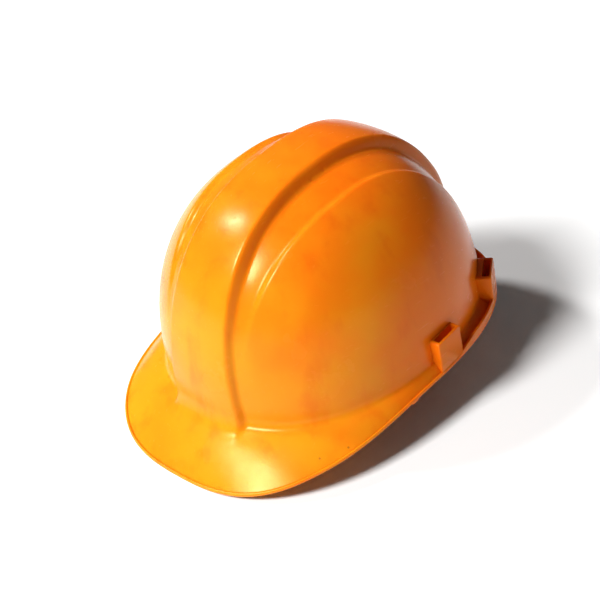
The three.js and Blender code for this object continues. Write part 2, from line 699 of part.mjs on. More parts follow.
function pinion() {
  const gear = plateY(pinionOutline(), COVER.inner, COVER.ceiling - GEAR_END_GAP);
  const journal = barY(SHAFT.radius, SHAFT.from, KNOB.cavityTop - 0.3);
  const drive = plateY(flattedOutline(SHAFT.radius, SHAFT.flat), KNOB.cavityTop - 0.5, SHAFT.to);
  const bore = barY(SCREW.hole, SHAFT.to - SCREW.depth - 1, SHAFT.to + 1, 16);
  return combine(gear, [journal, drive], [bore]);
}

function knob() {
  const grip = new THREE.Shape();
  const corners = 6 * KNOB.lobes;
  for (let k = 0; k < corners; k++) {
    const angle = 2 * Math.PI * k / corners;
    const r = KNOB.radius + KNOB.lobe * Math.cos(KNOB.lobes * angle);
    if (k === 0) grip.moveTo(r, 0);
    else grip.lineTo(r * Math.cos(angle), r * Math.sin(angle));
  }
  grip.closePath();
  const notched = new THREE.Shape();
  for (let k = 0; k < 2 * KNOB.notches; k++) {
    const angle = Math.PI * k / KNOB.notches;
    const r = KNOB.cavity + (k % 2) * KNOB.notch;
    if (k === 0) notched.moveTo(r, 0);
    else notched.lineTo(r * Math.cos(angle), r * Math.sin(angle));
  }
  notched.closePath();
  return combine(plateY(grip, KNOB.from, KNOB.to), [], [
    plateY(notched, KNOB.from - 1, KNOB.cavityTop),
    plateY(flattedOutline(SHAFT.hole, SHAFT.flat + GAP), KNOB.cavityTop - 1, KNOB.recessFrom + 1),
    barY(KNOB.recess, KNOB.recessFrom, KNOB.to + 1, 24),
  ]);
}

function knobScrew() {
  const shank = barY(SCREW.shankRadius, SHAFT.to - SCREW.depth + 0.5, KNOB.recessFrom + GAP + 0.5, 16);
  const head = barY(SCREW.headRadius, KNOB.recessFrom + GAP, KNOB.to - 0.2, 24);
  const driver = box([-2.6, KNOB.to - 1.2, -0.5], [2.6, KNOB.to + 1, 0.5]);
  const crossed = driver.clone().rotateY(Math.PI / 2);
  return combine(shank, [head], [driver, crossed]);
}

// Square-holed ring with two spring fingers that ride in the knob's notches.
function detentSpring() {
  const ring = new THREE.Shape();
  ring.absarc(0, 0, SPRING.ring, 0, 2 * Math.PI, false);
  const finger = new THREE.Shape();
  finger.absarc(0, 0, SPRING.armOuter, 0, rad(SPRING.sweep), false);
  finger.absarc(0, 0, SPRING.armInner, rad(SPRING.sweep), 0, true);
  finger.closePath();
  const { from, to, hole } = SPRING;
  const parts = [];
  for (const turn of [0, Math.PI]) {
    const bridge = box([SPRING.ring - 1, from, -1.2], [SPRING.armInner + 1.2, to, 1.8]);
    const tip = box([-1, from, -0.7], [1, to, 0.7]).translate(SPRING.armOuter - 0.7, 0, 0);
    parts.push(plateY(finger, from, to).rotateY(turn));
    parts.push(bridge.rotateY(turn));
    parts.push(tip.rotateY(turn - rad(SPRING.sweep - 5)));
  }
  const square = box([-hole, from - 1, -hole], [hole, to + 1, hole]);
  return combine(plateY(ring, from, to), parts, [square]);
}

function radialBar(radius, from, to, angle, z) {
  return barY(radius, from, to, 12).rotateZ(-rad(angle)).translate(0, 0, z);
}

const RIVET_PLACES = [
  ['upper_left', RIVET.angle, RIVET.z], ['upper_right', -RIVET.angle, RIVET.z],
  ['lower_left', RIVET.angle, -RIVET.z], ['lower_right', -RIVET.angle, -RIVET.z],
];

function rivetHoles() {
  const from = CRADLE.inner - 2;
  const to = COVER.outer + 2;
  return RIVET_PLACES.map(([, angle, z]) => radialBar(RIVET.hole, from, to, angle, z));
}

function ratchetCover() {
  const { inner, ceiling, outer, half, height, channel } = COVER;
  const outline = [
    [inner, -height], [outer, -height], [outer, height], [inner, height],
    [inner, channel], [ceiling, channel], [ceiling, -channel], [inner, -channel],
  ].map(([r, z]) => [r - HEAD.radius, z]);
  const body = headStrip(spread(-half, half, 5), () => outline);
  const boss = barY(BOSS.radius, ceiling + 0.2, BOSS.top, 32);
  const side = BOSS.collar;
  const collar = box([-side, BOSS.top - 1, -side], [side, BOSS.collarTop, side]);
  const bore = barY(SHAFT.hole, ceiling - 2, BOSS.collarTop + 1);
  return combine(body, [boss, collar], [bore, ...rivetHoles()]);
}

// Height in the headband frame of the table under a point of the band.
function tableUnder(point) {
  const tilt = BAND_TILT + FORWARD_LEAN;
  const origin = BAND_ORIGIN.clone().applyAxisAngle(new THREE.Vector3(1, 0, 0), FORWARD_LEAN);
  return (-STAND_HEIGHT - origin.z - point.y * Math.sin(tilt)) / Math.cos(tilt);
}

// Plate behind the head that closes the ratchet and reaches down to the table.
function napeCradle() {
  const inner = CRADLE.inner - HEAD.radius;
  const outer = CRADLE.outer - HEAD.radius;
  const plate = headStrip(spread(-CRADLE.half, CRADLE.half, 5), (angle) => {
    const top = Math.abs(angle) > CRADLE.half - 1 ? CRADLE.top - 4 : CRADLE.top;
    const lowIn = tableUnder(aroundHead(angle, inner, 0));
    const lowOut = tableUnder(aroundHead(angle, outer, 0));
    return [[inner, lowIn], [outer, lowOut], [outer, top], [inner, top]];
  });
  return combine(plate, [], [barY(SHAFT.hole, CRADLE.inner - 2, CRADLE.outer + 2), ...rivetHoles()]);
}

function napePad() {
  const inner = NAPE_PAD.inner - HEAD.radius;
  const outer = NAPE_PAD.outer - HEAD.radius;
  return headStrip(spread(-NAPE_PAD.half, NAPE_PAD.half, 6), (angle) => {
    const end = Math.abs(angle) > NAPE_PAD.half - 1;
    const front = end ? inner + 1.8 : inner;
    return rectangle(front, outer, NAPE_PAD.bottom + (end ? 2 : 0), NAPE_PAD.top - (end ? 2 : 0));
  });
}

function rivet(angle, z) {
  const shank = barY(RIVET.radius, CRADLE.inner + 0.1, COVER.outer + GAP + 0.5, 12);
  const head = barY(RIVET.head, COVER.outer + GAP, COVER.outer + GAP + RIVET.headHeight, 16);
  return combine(shank, [head], []).rotateZ(-rad(angle)).translate(0, 0, z);
}

// ---------------------------------------------------------------- hangers against the band

const toBand = new THREE.Matrix4().makeRotationX(BAND_TILT).setPosition(BAND_ORIGIN).invert();

// Where the hanger of a key meets the headband, with the distance it spans.
function hangerPlace(theta) {
  const { point, outward } = keyFrame(theta);
  const start = new THREE.Vector3(point.x, point.y, PEG.z).addScaledVector(outward, KEY.plateFace);
  for (let span = 0; span < 40; span += 0.02) {
    const local = start.clone().addScaledVector(outward, -span).applyMatrix4(toBand);
    const along = local.y > 0 ? HEAD.radius : HEAD.front;
    const sideways = local.x / (HEAD.radius + BAND.thickness);
    const reach = Math.hypot(sideways, local.y / (along + BAND.thickness));
    if (reach <= 1) return { theta, span };
  }
  throw new Error('no headband in front of the key');
}

function pegHole({ theta, span }) {
  const bar = pegBar(PEG.hole, KEY.plateFace - span - BAND.thickness - 2, KEY.plateFace - span + 2);
  return atKey(bar, theta).applyMatrix4(toBand);
}

const SIDES = [['left', 1], ['right', -1]];
const ENDS = [['front', KEY_ANGLES.front], ['rear', KEY_ANGLES.rear]];
const KEY_THETAS = SIDES.flatMap(([, sign]) => ENDS.map(([, theta]) => sign * theta));
const HANGER_PLACES = KEY_THETAS.map(hangerPlace);

// ---------------------------------------------------------------- assembly

const FINISH = {
  shell: { color: 0xf08a12, roughness: 0.28, metalness: 0 },
  webbing: { color: 0xd8d6cf, roughness: 0.9, metalness: 0 },
  foam: { color: 0x2e2f31, roughness: 0.95, metalness: 0 },
  band: { color: 0xe6e4dc, roughness: 0.5, metalness: 0 },
  black: { color: 0x1c1d1f, roughness: 0.45, metalness: 0 },
  steel: { color: 0xb8bbbf, roughness: 0.3, metalness: 1 },
};

function part(name, geometry, finish) {
  const mesh = new THREE.Mesh(plain(geometry), new THREE.MeshStandardMaterial(FINISH[finish]));
  mesh.name = name;
  return mesh;
}

const hat = new THREE.Group();
hat.add(part('shell', shell(), 'shell'));

for (const [side, sign] of SIDES) {
  for (const [end, angle] of ENDS) {
    const theta = sign * angle;
    const { point, turn } = keyFrame(theta);
    const key = part(`suspension_key_${end}_${side}`, suspensionKey(), 'band');
    const link = part(`headband_hanger_${end}_${side}`, hanger(hangerPlace(theta).span), 'band');
    for (const mesh of [key, link]) {
      mesh.position.set(point.x, point.y, 0);
      mesh.rotation.z = turn;
      hat.add(mesh);
    }
  }
}

const lowerStrap = drilledStrap(KEY_ANGLES.front, -KEY_ANGLES.rear, 0);
const upperStrap = drilledStrap(-KEY_ANGLES.front, KEY_ANGLES.rear, STRAP.crossing);
hat.add(part('crown_strap_lower', lowerStrap, 'webbing'));
hat.add(part('crown_strap_upper', upperStrap, 'webbing'));
hat.add(part('crown_pad', crownPad(), 'foam'));
hat.add(part('crown_rivet', crownRivet(), 'band'));

const bandGroup = new THREE.Group();
bandGroup.position.copy(BAND_ORIGIN);
bandGroup.rotation.x = BAND_TILT;
bandGroup.add(part('headband', headband(), 'band'));
bandGroup.add(part('brow_pad', browPad(), 'foam'));
bandGroup.add(part('band_sleeve_left', sleeve(), 'band'));
bandGroup.add(part('band_sleeve_right', mirrorX(sleeve()), 'band'));
bandGroup.add(part('adjusting_arm_left', arm(ARM_RADIUS.left, -1), 'band'));
bandGroup.add(part('adjusting_arm_right', mirrorX(arm(ARM_RADIUS.right, 1)), 'band'));
bandGroup.add(part('ratchet_cover', ratchetCover(), 'black'));
bandGroup.add(part('nape_cradle', napeCradle(), 'black'));
bandGroup.add(part('nape_pad', napePad(), 'foam'));
bandGroup.add(part('knob', knob(), 'black'));
bandGroup.add(part('pinion', pinion(), 'band'));
bandGroup.add(part('detent_spring', detentSpring(), 'band'));
bandGroup.add(part('knob_screw', knobScrew(), 'steel'));
for (const [name, angle, z] of RIVET_PLACES) {
  bandGroup.add(part(`ratchet_rivet_${name}`, rivet(angle, z), 'black'));
}
hat.add(bandGroup);

hat.rotation.x = FORWARD_LEAN;
hat.position.set(0, STAND_SHIFT_Y, STAND_HEIGHT);

const object = new THREE.Group();
object.add(hat);

export default object;
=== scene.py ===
"""Looks of a cap-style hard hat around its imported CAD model.

Shapes are worked out in millimetres in the hat's own frame (rim plane at z = 0) or in the
headband's frame, and turned into metres of the row frame when a mesh is made.
"""
import json
import math

import bpy
import numpy as np
from mathutils import Matrix, Vector


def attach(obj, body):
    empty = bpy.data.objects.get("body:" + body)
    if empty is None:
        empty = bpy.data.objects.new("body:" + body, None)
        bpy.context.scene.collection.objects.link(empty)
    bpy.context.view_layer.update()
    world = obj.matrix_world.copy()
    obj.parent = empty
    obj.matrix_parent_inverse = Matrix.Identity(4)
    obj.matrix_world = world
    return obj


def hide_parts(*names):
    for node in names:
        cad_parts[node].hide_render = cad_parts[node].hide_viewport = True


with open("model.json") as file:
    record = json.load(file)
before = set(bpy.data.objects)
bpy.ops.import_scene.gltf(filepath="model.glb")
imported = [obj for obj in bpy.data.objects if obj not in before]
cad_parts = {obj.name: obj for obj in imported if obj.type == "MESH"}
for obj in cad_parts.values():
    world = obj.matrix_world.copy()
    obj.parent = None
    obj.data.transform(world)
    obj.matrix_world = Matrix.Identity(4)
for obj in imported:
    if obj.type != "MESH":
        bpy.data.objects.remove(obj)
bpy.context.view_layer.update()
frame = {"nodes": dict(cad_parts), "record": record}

MM = 0.001

# ------------------------------------------------------------------ sizes shared with the CAD

FORWARD_LEAN = math.radians(5)
STAND = Vector((0, -0.1, 32.4))
WALL = 2.4
DOME = dict(half=101, front=120, rear=120.5, centre_y=17.5, plan=2.27, spread=2.41, climb=2.25,
            base_z=9.5, apex_z=147, apex_shift=-3)
RIM = dict(half=109, front=143.5, rear=142, plan=2.75, drop=15, arch=5, thick=2.6, bead=0.2,
           lip=2.2, gutter=5, gutter_from=1.86, gutter_fade=0.25)
RIDGE = dict(rise=5, base=28, top=19, shoulder=5)
CHANNEL = dict(depth=3.2, front=35, crown=48, rear=57, start=0.3, end=2.9, fade=0.7)
SLOT = dict(width=25, pocket=20, depth=5.4, floor=6, wall=2, bottom=1, top=27)
SLOT_PLACES = ((31, 11), (106, 12.5))
LUG = dict(length=6, depth=3, height=6, y=-11)
KEY_ANGLES = (math.pi / 4, 3 * math.pi / 4)
SOCKET = dict(inner=-8, outer=1.2, half=14, bottom=6, top=32, slot_in=-5.8, slot_out=-2,
              slot_half=10, slot_top=28)
STRAP = dict(width=17, thick=1.2, r=-9.8, end_z=7, spring_z=36, crown_z=112, crossing=2.1)
CROWN_PAD = dict(radius=42, thick=5, bend=118, hole=3)
BAND_ORIGIN = Vector((0, 28, 16))
BAND_TILT = math.radians(-12)
HEAD_RADIUS = 77
HEAD_FRONT = 110
BAND_HALF = 14
GAP = 0.3

HAT = Matrix.Translation(STAND) @ Matrix.Rotation(FORWARD_LEAN, 4, "X")
BAND = HAT @ Matrix.Translation(BAND_ORIGIN) @ Matrix.Rotation(BAND_TILT, 4, "X")


# ------------------------------------------------------------------ mesh helpers

def new_object(name, points, faces, place=HAT, smooth=True):
    """Mesh from points in millimetres of the frame named by place."""
    turn = np.array(place, float)
    co = (np.asarray(points, float).reshape(-1, 3) @ turn[:3, :3].T + turn[:3, 3]) * MM
    mesh = bpy.data.meshes.new(name)
    mesh.from_pydata(co.tolist(), [], [list(map(int, f)) for f in faces])
    mesh.validate()
    if signed_volume(mesh) < 0:
        mesh.flip_normals()
    mesh.polygons.foreach_set("use_smooth", [smooth] * len(mesh.polygons))
    obj = bpy.data.objects.new(name, mesh)
    bpy.context.scene.collection.objects.link(obj)
    return obj


def signed_volume(mesh):
    mesh.calc_loop_triangles()
    count = len(mesh.loop_triangles)
    corners = np.zeros(count * 3, np.int32)
    mesh.loop_triangles.foreach_get("vertices", corners)
    co = np.zeros(len(mesh.vertices) * 3)
    mesh.vertices.foreach_get("co", co)
    a, b, c = co.reshape(-1, 3)[corners.reshape(-1, 3)].transpose(1, 0, 2)
    return float((a * np.cross(b, c)).sum())


def grid_faces(rows, columns, wrap_rows=False, wrap_columns=False, start=0):
    """Quads over rows x columns points that are stored row by row."""
    r = np.arange(rows if wrap_rows else rows - 1)
    c = np.arange(columns if wrap_columns else columns - 1)
    r, c = np.meshgrid(r, c, indexing="ij")
    r2 = (r + 1) % rows
    c2 = (c + 1) % columns
    quads = np.stack([r * columns + c, r2 * columns + c, r2 * columns + c2, r * columns + c2], -1)
    return (quads.reshape(-1, 4) + start).tolist()


def sweep(name, outlines, place=HAT):
    """Closed skin over equal outlines of 3-D points, capped at both ends."""
    points = np.asarray(outlines, float)
    rows, columns = points.shape[:2]
    faces = grid_faces(rows, columns, wrap_columns=True)
    last = (rows - 1) * columns
    faces.append(list(range(columns))[::-1])
    faces.append([last + i for i in range(columns)])
    return new_object(name, points, faces, place)


def apply_modifiers(obj):
    graph = bpy.context.evaluated_depsgraph_get()
    result = bpy.data.meshes.new_from_object(obj.evaluated_get(graph))
    old = obj.data
    obj.modifiers.clear()
    obj.data = result
    bpy.data.meshes.remove(old)
    return obj


def cut_or_add(obj, operand, operation):
    """Boolean of obj with operand, which is used up."""
    change = obj.modifiers.new("shape", "BOOLEAN")
    change.operation = operation
    change.solver = "MANIFOLD"
    change.object = operand
    apply_modifiers(obj)
    mesh = operand.data
    bpy.data.objects.remove(operand)
    bpy.data.meshes.remove(mesh)
    return obj


def soften(obj, width, segments=3):
    """Rounds the sharp edges of obj by width in millimetres."""
    edge = obj.modifiers.new("edge", "BEVEL")
    edge.width = width * MM
    edge.segments = segments
    edge.limit_method = "ANGLE"
    edge.angle_limit = math.radians(35)
    return apply_modifiers(obj)


def join(objects):
    """One object from several separate solids."""
    first = objects[0]
    points, faces = [], []
    for obj in objects:
        start = len(points)
        points += [tuple(obj.matrix_world @ v.co) for v in obj.data.vertices]
        faces += [[start + i for i in p.vertices] for p in obj.data.polygons]
    mesh = bpy.data.meshes.new(first.name)
    mesh.from_pydata(points, [], faces)
    mesh.polygons.foreach_set("use_smooth", [True] * len(mesh.polygons))
    name = first.name
    for obj in objects:
        bpy.data.objects.remove(obj)
    joined = bpy.data.objects.new(name, mesh)
    bpy.context.scene.collection.objects.link(joined)
    return joined


def add_weave(obj, uvs):
    """UV map in metres along and across the fabric. uvs holds one pair in millimetres per vertex."""
    layer = obj.data.uv_layers.new(name="weave")
    for loop in obj.data.loops:
        u, v = uvs[loop.vertex_index]
        layer.data[loop.index].uv = (u * MM, v * MM)
    return obj


def smooth_by_angle(obj, degrees):
    obj.data.polygons.foreach_set("use_smooth", [True] * len(obj.data.polygons))
    obj.data.set_sharp_from_angle(angle=math.radians(degrees))


def block(low, high, place, rounding=0.0):
    x0, y0, z0 = low
    x1, y1, z1 = high
    points = [(x0, y0, z0), (x1, y0, z0), (x1, y1, z0), (x0, y1, z0),
              (x0, y0, z1), (x1, y0, z1), (x1, y1, z1), (x0, y1, z1)]
    faces = [(0, 3, 2, 1), (4, 5, 6, 7), (0, 1, 5, 4), (1, 2, 6, 5), (2, 3, 7, 6), (3, 0, 4, 7)]
    obj = new_object("block", points, faces, place)
    return soften(obj, rounding) if rounding else obj


def bar_y(radius, start, end, place, sides=64):
    """Round bar along +Y."""
    turn = np.linspace(0, 2 * math.pi, sides, endpoint=False)
    ring = np.stack([radius * np.cos(turn), np.zeros(sides), radius * np.sin(turn)], -1)
    return sweep("bar", [ring + [0, start, 0], ring + [0, end, 0]], place)


def smooth01(t):
    t = np.clip(t, 0, 1)
    return t * t * (3 - 2 * t)


def ramp(t, rounding=0.28):
    """Straight slope from 0 to 1 with a rounded foot and a rounded top."""
    t = np.clip(t, 0, 1)
    a = rounding
    foot = t * t / (2 * a * (1 - a))
    slope = (t - a / 2) / (1 - a)
    top = 1 - (1 - t) ** 2 / (2 * a * (1 - a))
    return np.where(t < a, foot, np.where(t > 1 - a, top, slope))


# ------------------------------------------------------------------ shell

def plan_reach(theta, half, front, rear, power):
    along = np.where(np.cos(theta) > 0, front, rear)
    total = np.abs(np.sin(theta) / half) ** power + np.abs(np.cos(theta) / along) ** power
    return total ** (-1 / power)


def dome(theta, level, inset=0.0):
    """Points and outward normals of the dome. level is 0 at its base and 1 at the crown."""
    theta, level = np.broadcast_arrays(theta, level)
    half, front, rear = DOME["half"] - inset, DOME["front"] - inset, DOME["rear"] - inset
    plan, spread_power, climb_power = DOME["plan"], DOME["spread"], DOME["climb"]
    spread = np.cos(level * math.pi / 2) ** (2 / spread_power)
    climb = np.sin(level * math.pi / 2) ** (2 / climb_power)
    flat = plan_reach(theta, half, front, rear, plan) * spread
    x = flat * np.sin(theta)
    y = -flat * np.cos(theta)
    height = DOME["apex_z"] - inset - DOME["base_z"]
    along = np.where(np.cos(theta) > 0, front, rear)
    slope = spread_power * np.maximum(spread, 1e-3) ** (spread_power - plan)
    normal = np.stack([
        np.sign(x) * slope * np.abs(x / half) ** (plan - 1) / half,
        np.sign(y) * slope * np.abs(y / along) ** (plan - 1) / along,
        climb_power * climb ** (climb_power - 1) / height,
    ], -1)
    normal /= np.linalg.norm(normal, axis=-1, keepdims=True)
    points = np.stack([x, DOME["centre_y"] + DOME["apex_shift"] * climb + y,
                       DOME["base_z"] + height * climb], -1)
    across = np.clip(1 - np.abs(x / half) ** plan, 1e-6, 1) ** (1 / plan)
    phi = np.arccos(np.clip(-y / (along * across), -1, 1))
    return points, normal, phi


def relief(x, phi):
    """Height of the ridge and depth of the channels beside it, at side distance x.

    phi is 0 at the front base, pi / 2 at the crown and pi at the rear base."""
    x = np.abs(x)
    top = RIDGE["base"] + (RIDGE["top"] - RIDGE["base"]) * np.sin(phi)
    foot = top + RIDGE["shoulder"]
    runs_out = 1 - smooth01((phi - 2.7) / 0.4)
    rise = RIDGE["rise"] * ramp((foot - x) / RIDGE["shoulder"]) * runs_out
    outer = (CHANNEL["front"] + (CHANNEL["crown"] - CHANNEL["front"]) * smooth01(phi / (math.pi / 2))
             + (CHANNEL["rear"] - CHANNEL["crown"]) * smooth01((phi - math.pi / 2) / (math.pi / 2)))
    depth = CHANNEL["depth"] * smooth01((phi - CHANNEL["start"]) / CHANNEL["fade"])
    depth *= 1 - smooth01((phi - CHANNEL["end"] + 0.2) / 0.25)
    inside = ramp((x - foot + 1.8) / 3.2) * ramp((outer + 1.8 - x) / 4.2, 0.4)
    return rise - depth * inside


def rim(theta, inward, up):
    reach = plan_reach(theta, RIM["half"] - inward, RIM["front"] - inward, RIM["rear"] - inward,
                       RIM["plan"])
    ahead = np.maximum(np.cos(theta), 0)
    z = -RIM["drop"] * ahead ** 2 - RIM["arch"] * smooth01((ahead - 0.7) / 0.3) + up
    return np.stack([reach * np.sin(theta), -reach * np.cos(theta), z + 0 * reach], -1)


def fine_shell():
    sectors = 480
    theta = np.linspace(0, 2 * math.pi, sectors, endpoint=False)[:, None]

    base, base_normal, base_phi = dome(theta, 0 * theta)
    base_x = base[..., 0]
    crease = base + base_normal * relief(base_x, base_phi)[..., None]
    edge = rim(theta, RIM["lip"], RIM["thick"])
    depth = np.linalg.norm(edge[..., :2] - crease[..., :2], axis=-1)
    at_front = np.cos(theta) > 0
    fillet = np.where(at_front, 6.2 + 5.0 * (1 - smooth01((np.abs(base_x) - 22) / 14)), 2.0)
    out_fillet = np.minimum(fillet / depth, 0.5)
    climb = fillet / (DOME["apex_z"] - DOME["base_z"])
    level_fillet = 2 / math.pi * np.arcsin(climb ** (DOME["climb"] / 2))

    def outside(level, lift=0.0):
        points, normal, phi = dome(theta, level)
        return points + normal * (relief(points[..., 0], phi) + lift)[..., None]

    swell = RIDGE["rise"] * smooth01((50 - np.abs(base_x)) / 42) * at_front
    blended = base + base_normal * swell[..., None]

    def brim(out, drop):
        """Brim or flange from the dome's base (0) to the rim (1). The ridge fades out across it."""
        out = np.broadcast_to(out, (sectors, np.shape(out)[-1]))[..., None]
        root = crease + (blended - crease) * smooth01(out / 0.4)
        points = root + (edge - root) * out
        fall = (edge[..., 2:] - root[..., 2:]) * out ** 1.4
        points[..., 2:] = root[..., 2:] + fall - drop
        return points

    up_dome = np.linspace(1, 0, 101)[1:][None, :]
    levels = level_fillet + (0.985 - level_fillet) * up_dome
    rings = [outside(levels)]
    start, stop = outside(level_fillet), brim(out_fillet, 0)
    for t in np.linspace(0, 1, 8)[1:]:
        rings.append(start * (1 - t) ** 2 + crease * 2 * t * (1 - t) + stop * t ** 2)
    rings.append(brim(out_fillet + (1 - out_fillet) * np.linspace(0, 1, 24)[None, 1:], 0))

    behind = np.arccos(np.cos(theta))
    lip = RIM["bead"] + RIM["gutter"] * smooth01((behind - RIM["gutter_from"]) / RIM["gutter_fade"])
    top = RIM["thick"] + lip
    rings.append(rim(theta, 2.0, RIM["thick"] + 0.15))
    for turn in np.linspace(0, math.pi, 7):
        rings.append(rim(theta, 1.0 + 0.85 * math.cos(turn), top - 0.75 + 0.75 * math.sin(turn)))
    for inward, up in ((0.02, 1.5), (0.02, 0.8), (0.2, 0.3), (0.55, 0.05), (1.1, 0)):
        rings.append(rim(theta, inward, up))
    rings.append(brim(np.linspace(0.94, 0.2, 9)[None, :], RIM["thick"]))
    rings.append(outside(np.linspace(0.0, 0.985, 46)[None, :], -WALL))
    columns = np.concatenate([r if r.shape[1] > 1 else r.reshape(sectors, 1, 3) for r in rings], 1)

    count = columns.shape[1]
    pole = np.array([0, DOME["centre_y"] + DOME["apex_shift"], DOME["apex_z"] + RIDGE["rise"]])
    points = np.concatenate([columns.reshape(-1, 3), [pole, pole - [0, 0, WALL]]])
    faces = grid_faces(sectors, count, wrap_rows=True)
    outer_pole, inner_pole = len(points) - 2, len(points) - 1
    for i in range(sectors):
        j = (i + 1) % sectors
        faces.append([outer_pole, j * count, i * count])
        faces.append([inner_pole, i * count + count - 1, j * count + count - 1])
    return new_object("shell_moulding", points, faces)


def slot_place(y):
    """Frame of an accessory slot: origin on the rim, +X outwards."""
    theta = math.acos(-y / RIM["rear"])
    for _ in range(20):
        theta += (y - float(rim(np.array(theta), 0, 0)[1])) / RIM["rear"]
    point = rim(np.array(theta), 0, 0)
    ahead = rim(np.array(theta - 0.01), 0, 0) - rim(np.array(theta + 0.01), 0, 0)
    turn = math.atan2(ahead[1], ahead[0]) + math.pi / 2
    return Matrix.Translation((point[0], point[1], 0)) @ Matrix.Rotation(turn, 4, "Z")


def key_place(theta):
    """Frame of a suspension key: origin on the shell's inner face, +X outwards."""
    def inner(angle):
        return dome(np.array([angle]), np.array([0.1]), WALL)[0][0]
    point = inner(theta)
    ahead = inner(theta - 0.01) - inner(theta + 0.01)
    outward = Vector((-ahead[1], ahead[0], 0)).normalized()
    if outward.dot(Vector((point[0], point[1] - DOME["centre_y"], 0))) < 0:
        outward.negate()
    turn = math.atan2(outward.y, outward.x)
    return Matrix.Translation((point[0], point[1], 0)) @ Matrix.Rotation(turn, 4, "Z"), outward


MIRROR = Matrix.Scale(-1, 4, (1, 0, 0))
KEY_THETAS = [sign * angle for sign in (1, -1) for angle in KEY_ANGLES]


def build_shell():
    shell = fine_shell()
    added, removed = [], []
    half, pocket = SLOT["width"] / 2, SLOT["pocket"] / 2
    for side in (Matrix.Identity(4), MIRROR):
        for y, depth in SLOT_PLACES:
            place = HAT @ side @ slot_place(y)
            added.append(block((-depth, -half, SLOT["bottom"]), (-0.6, half, SLOT["top"]), place, 1.3))
            inner = -SLOT["wall"] - SLOT["depth"]
            removed.append(block((inner, -pocket, SLOT["floor"]), (-SLOT["wall"], pocket, SLOT["top"] + 9),
                                 place, 0.5))
        outer = RIM["half"] - 1.5
        added.append(block((outer - LUG["height"], LUG["y"] - LUG["length"] / 2, -LUG["depth"]),
                           (outer, LUG["y"] + LUG["length"] / 2, 1.5), HAT @ side, 0.5))
    for theta in KEY_THETAS:
        place = HAT @ key_place(theta)[0]
        added.append(block((SOCKET["inner"], -SOCKET["half"], SOCKET["bottom"]),
                           (SOCKET["outer"], SOCKET["half"], SOCKET["top"]), place, 1.0))
        removed.append(block((SOCKET["slot_in"], -SOCKET["slot_half"], SOCKET["bottom"] - 2),
                             (SOCKET["slot_out"], SOCKET["slot_half"], SOCKET["slot_top"]), place))
    cut_or_add(shell, join(added), "UNION")
    cut_or_add(shell, join(removed), "DIFFERENCE")
    smooth_by_angle(shell, 48)
    shell.name = "shell_moulding"
    return shell


# ------------------------------------------------------------------ headband strips

def around_head(angle, offset, z):
    """Points round the head. Angle in degrees from the nape, offset outwards from the band."""
    a = math.radians(angle)
    along = HEAD_FRONT if math.cos(a) < 0 else HEAD_RADIUS
    offset = np.asarray(offset, float)
    return np.stack([(HEAD_RADIUS + offset) * math.sin(a), (along + offset) * math.cos(a),
                     np.asarray(z, float)], -1)


def rounded(corners, radius, steps=4):
    """Outline with every corner replaced by a small arc."""
    points = []
    count = len(corners)
    for i in range(count):
        here = np.array(corners[i], float)
        before = np.array(corners[i - 1], float) - here
        after = np.array(corners[(i + 1) % count], float) - here
        reach = min(radius, np.linalg.norm(before) * 0.45, np.linalg.norm(after) * 0.45)
        a = here + before / np.linalg.norm(before) * reach
        b = here + after / np.linalg.norm(after) * reach
        for t in np.linspace(0, 1, steps):
            points.append(a * (1 - t) ** 2 + here * 2 * t * (1 - t) + b * t * t)
    return np.array(points)


def head_strip(name, start, end, outline_at, step=1.5, end_round=0.8):
    """Bent strip whose ends are rounded over. outline_at(angle) gives (offset, z) points."""
    count = max(2, round(abs(end - start) / step))
    middle = np.linspace(start, end, count + 1)
    per_mm = math.degrees(1 / (HEAD_RADIUS + 4)) * np.sign(end - start)
    stations = [(start + end_round * (1 - math.cos(math.radians(22.5 * k))) * per_mm,
                 end_round * (1 - math.sin(math.radians(22.5 * k)))) for k in range(4)]
    stations += [(a, 0.0) for a in middle if abs(a - start) > end_round * abs(per_mm) * 1.2
                 and abs(a - end) > end_round * abs(per_mm) * 1.2]
    stations += [(end - end_round * (1 - math.cos(math.radians(22.5 * k))) * per_mm,
                  end_round * (1 - math.sin(math.radians(22.5 * k)))) for k in (3, 2, 1, 0)]
    rings, uvs = [], []
    for angle, shrink in stations:
        outline = np.asarray(outline_at(angle), float)
        if shrink > 0:
            centre = (outline.max(0) + outline.min(0)) / 2
            size = outline.max(0) - outline.min(0)
            keep = 1 - 2 * np.minimum(shrink, size * 0.3) / size
            outline = centre + (outline - centre) * keep
        rings.append(around_head(angle, outline[:, 0], outline[:, 1]))
        uvs += [(math.radians(angle) * HEAD_RADIUS, z) for z in outline[:, 1]]
    return add_weave(sweep(name, rings, BAND), uvs)


# ------------------------------------------------------------------ materials

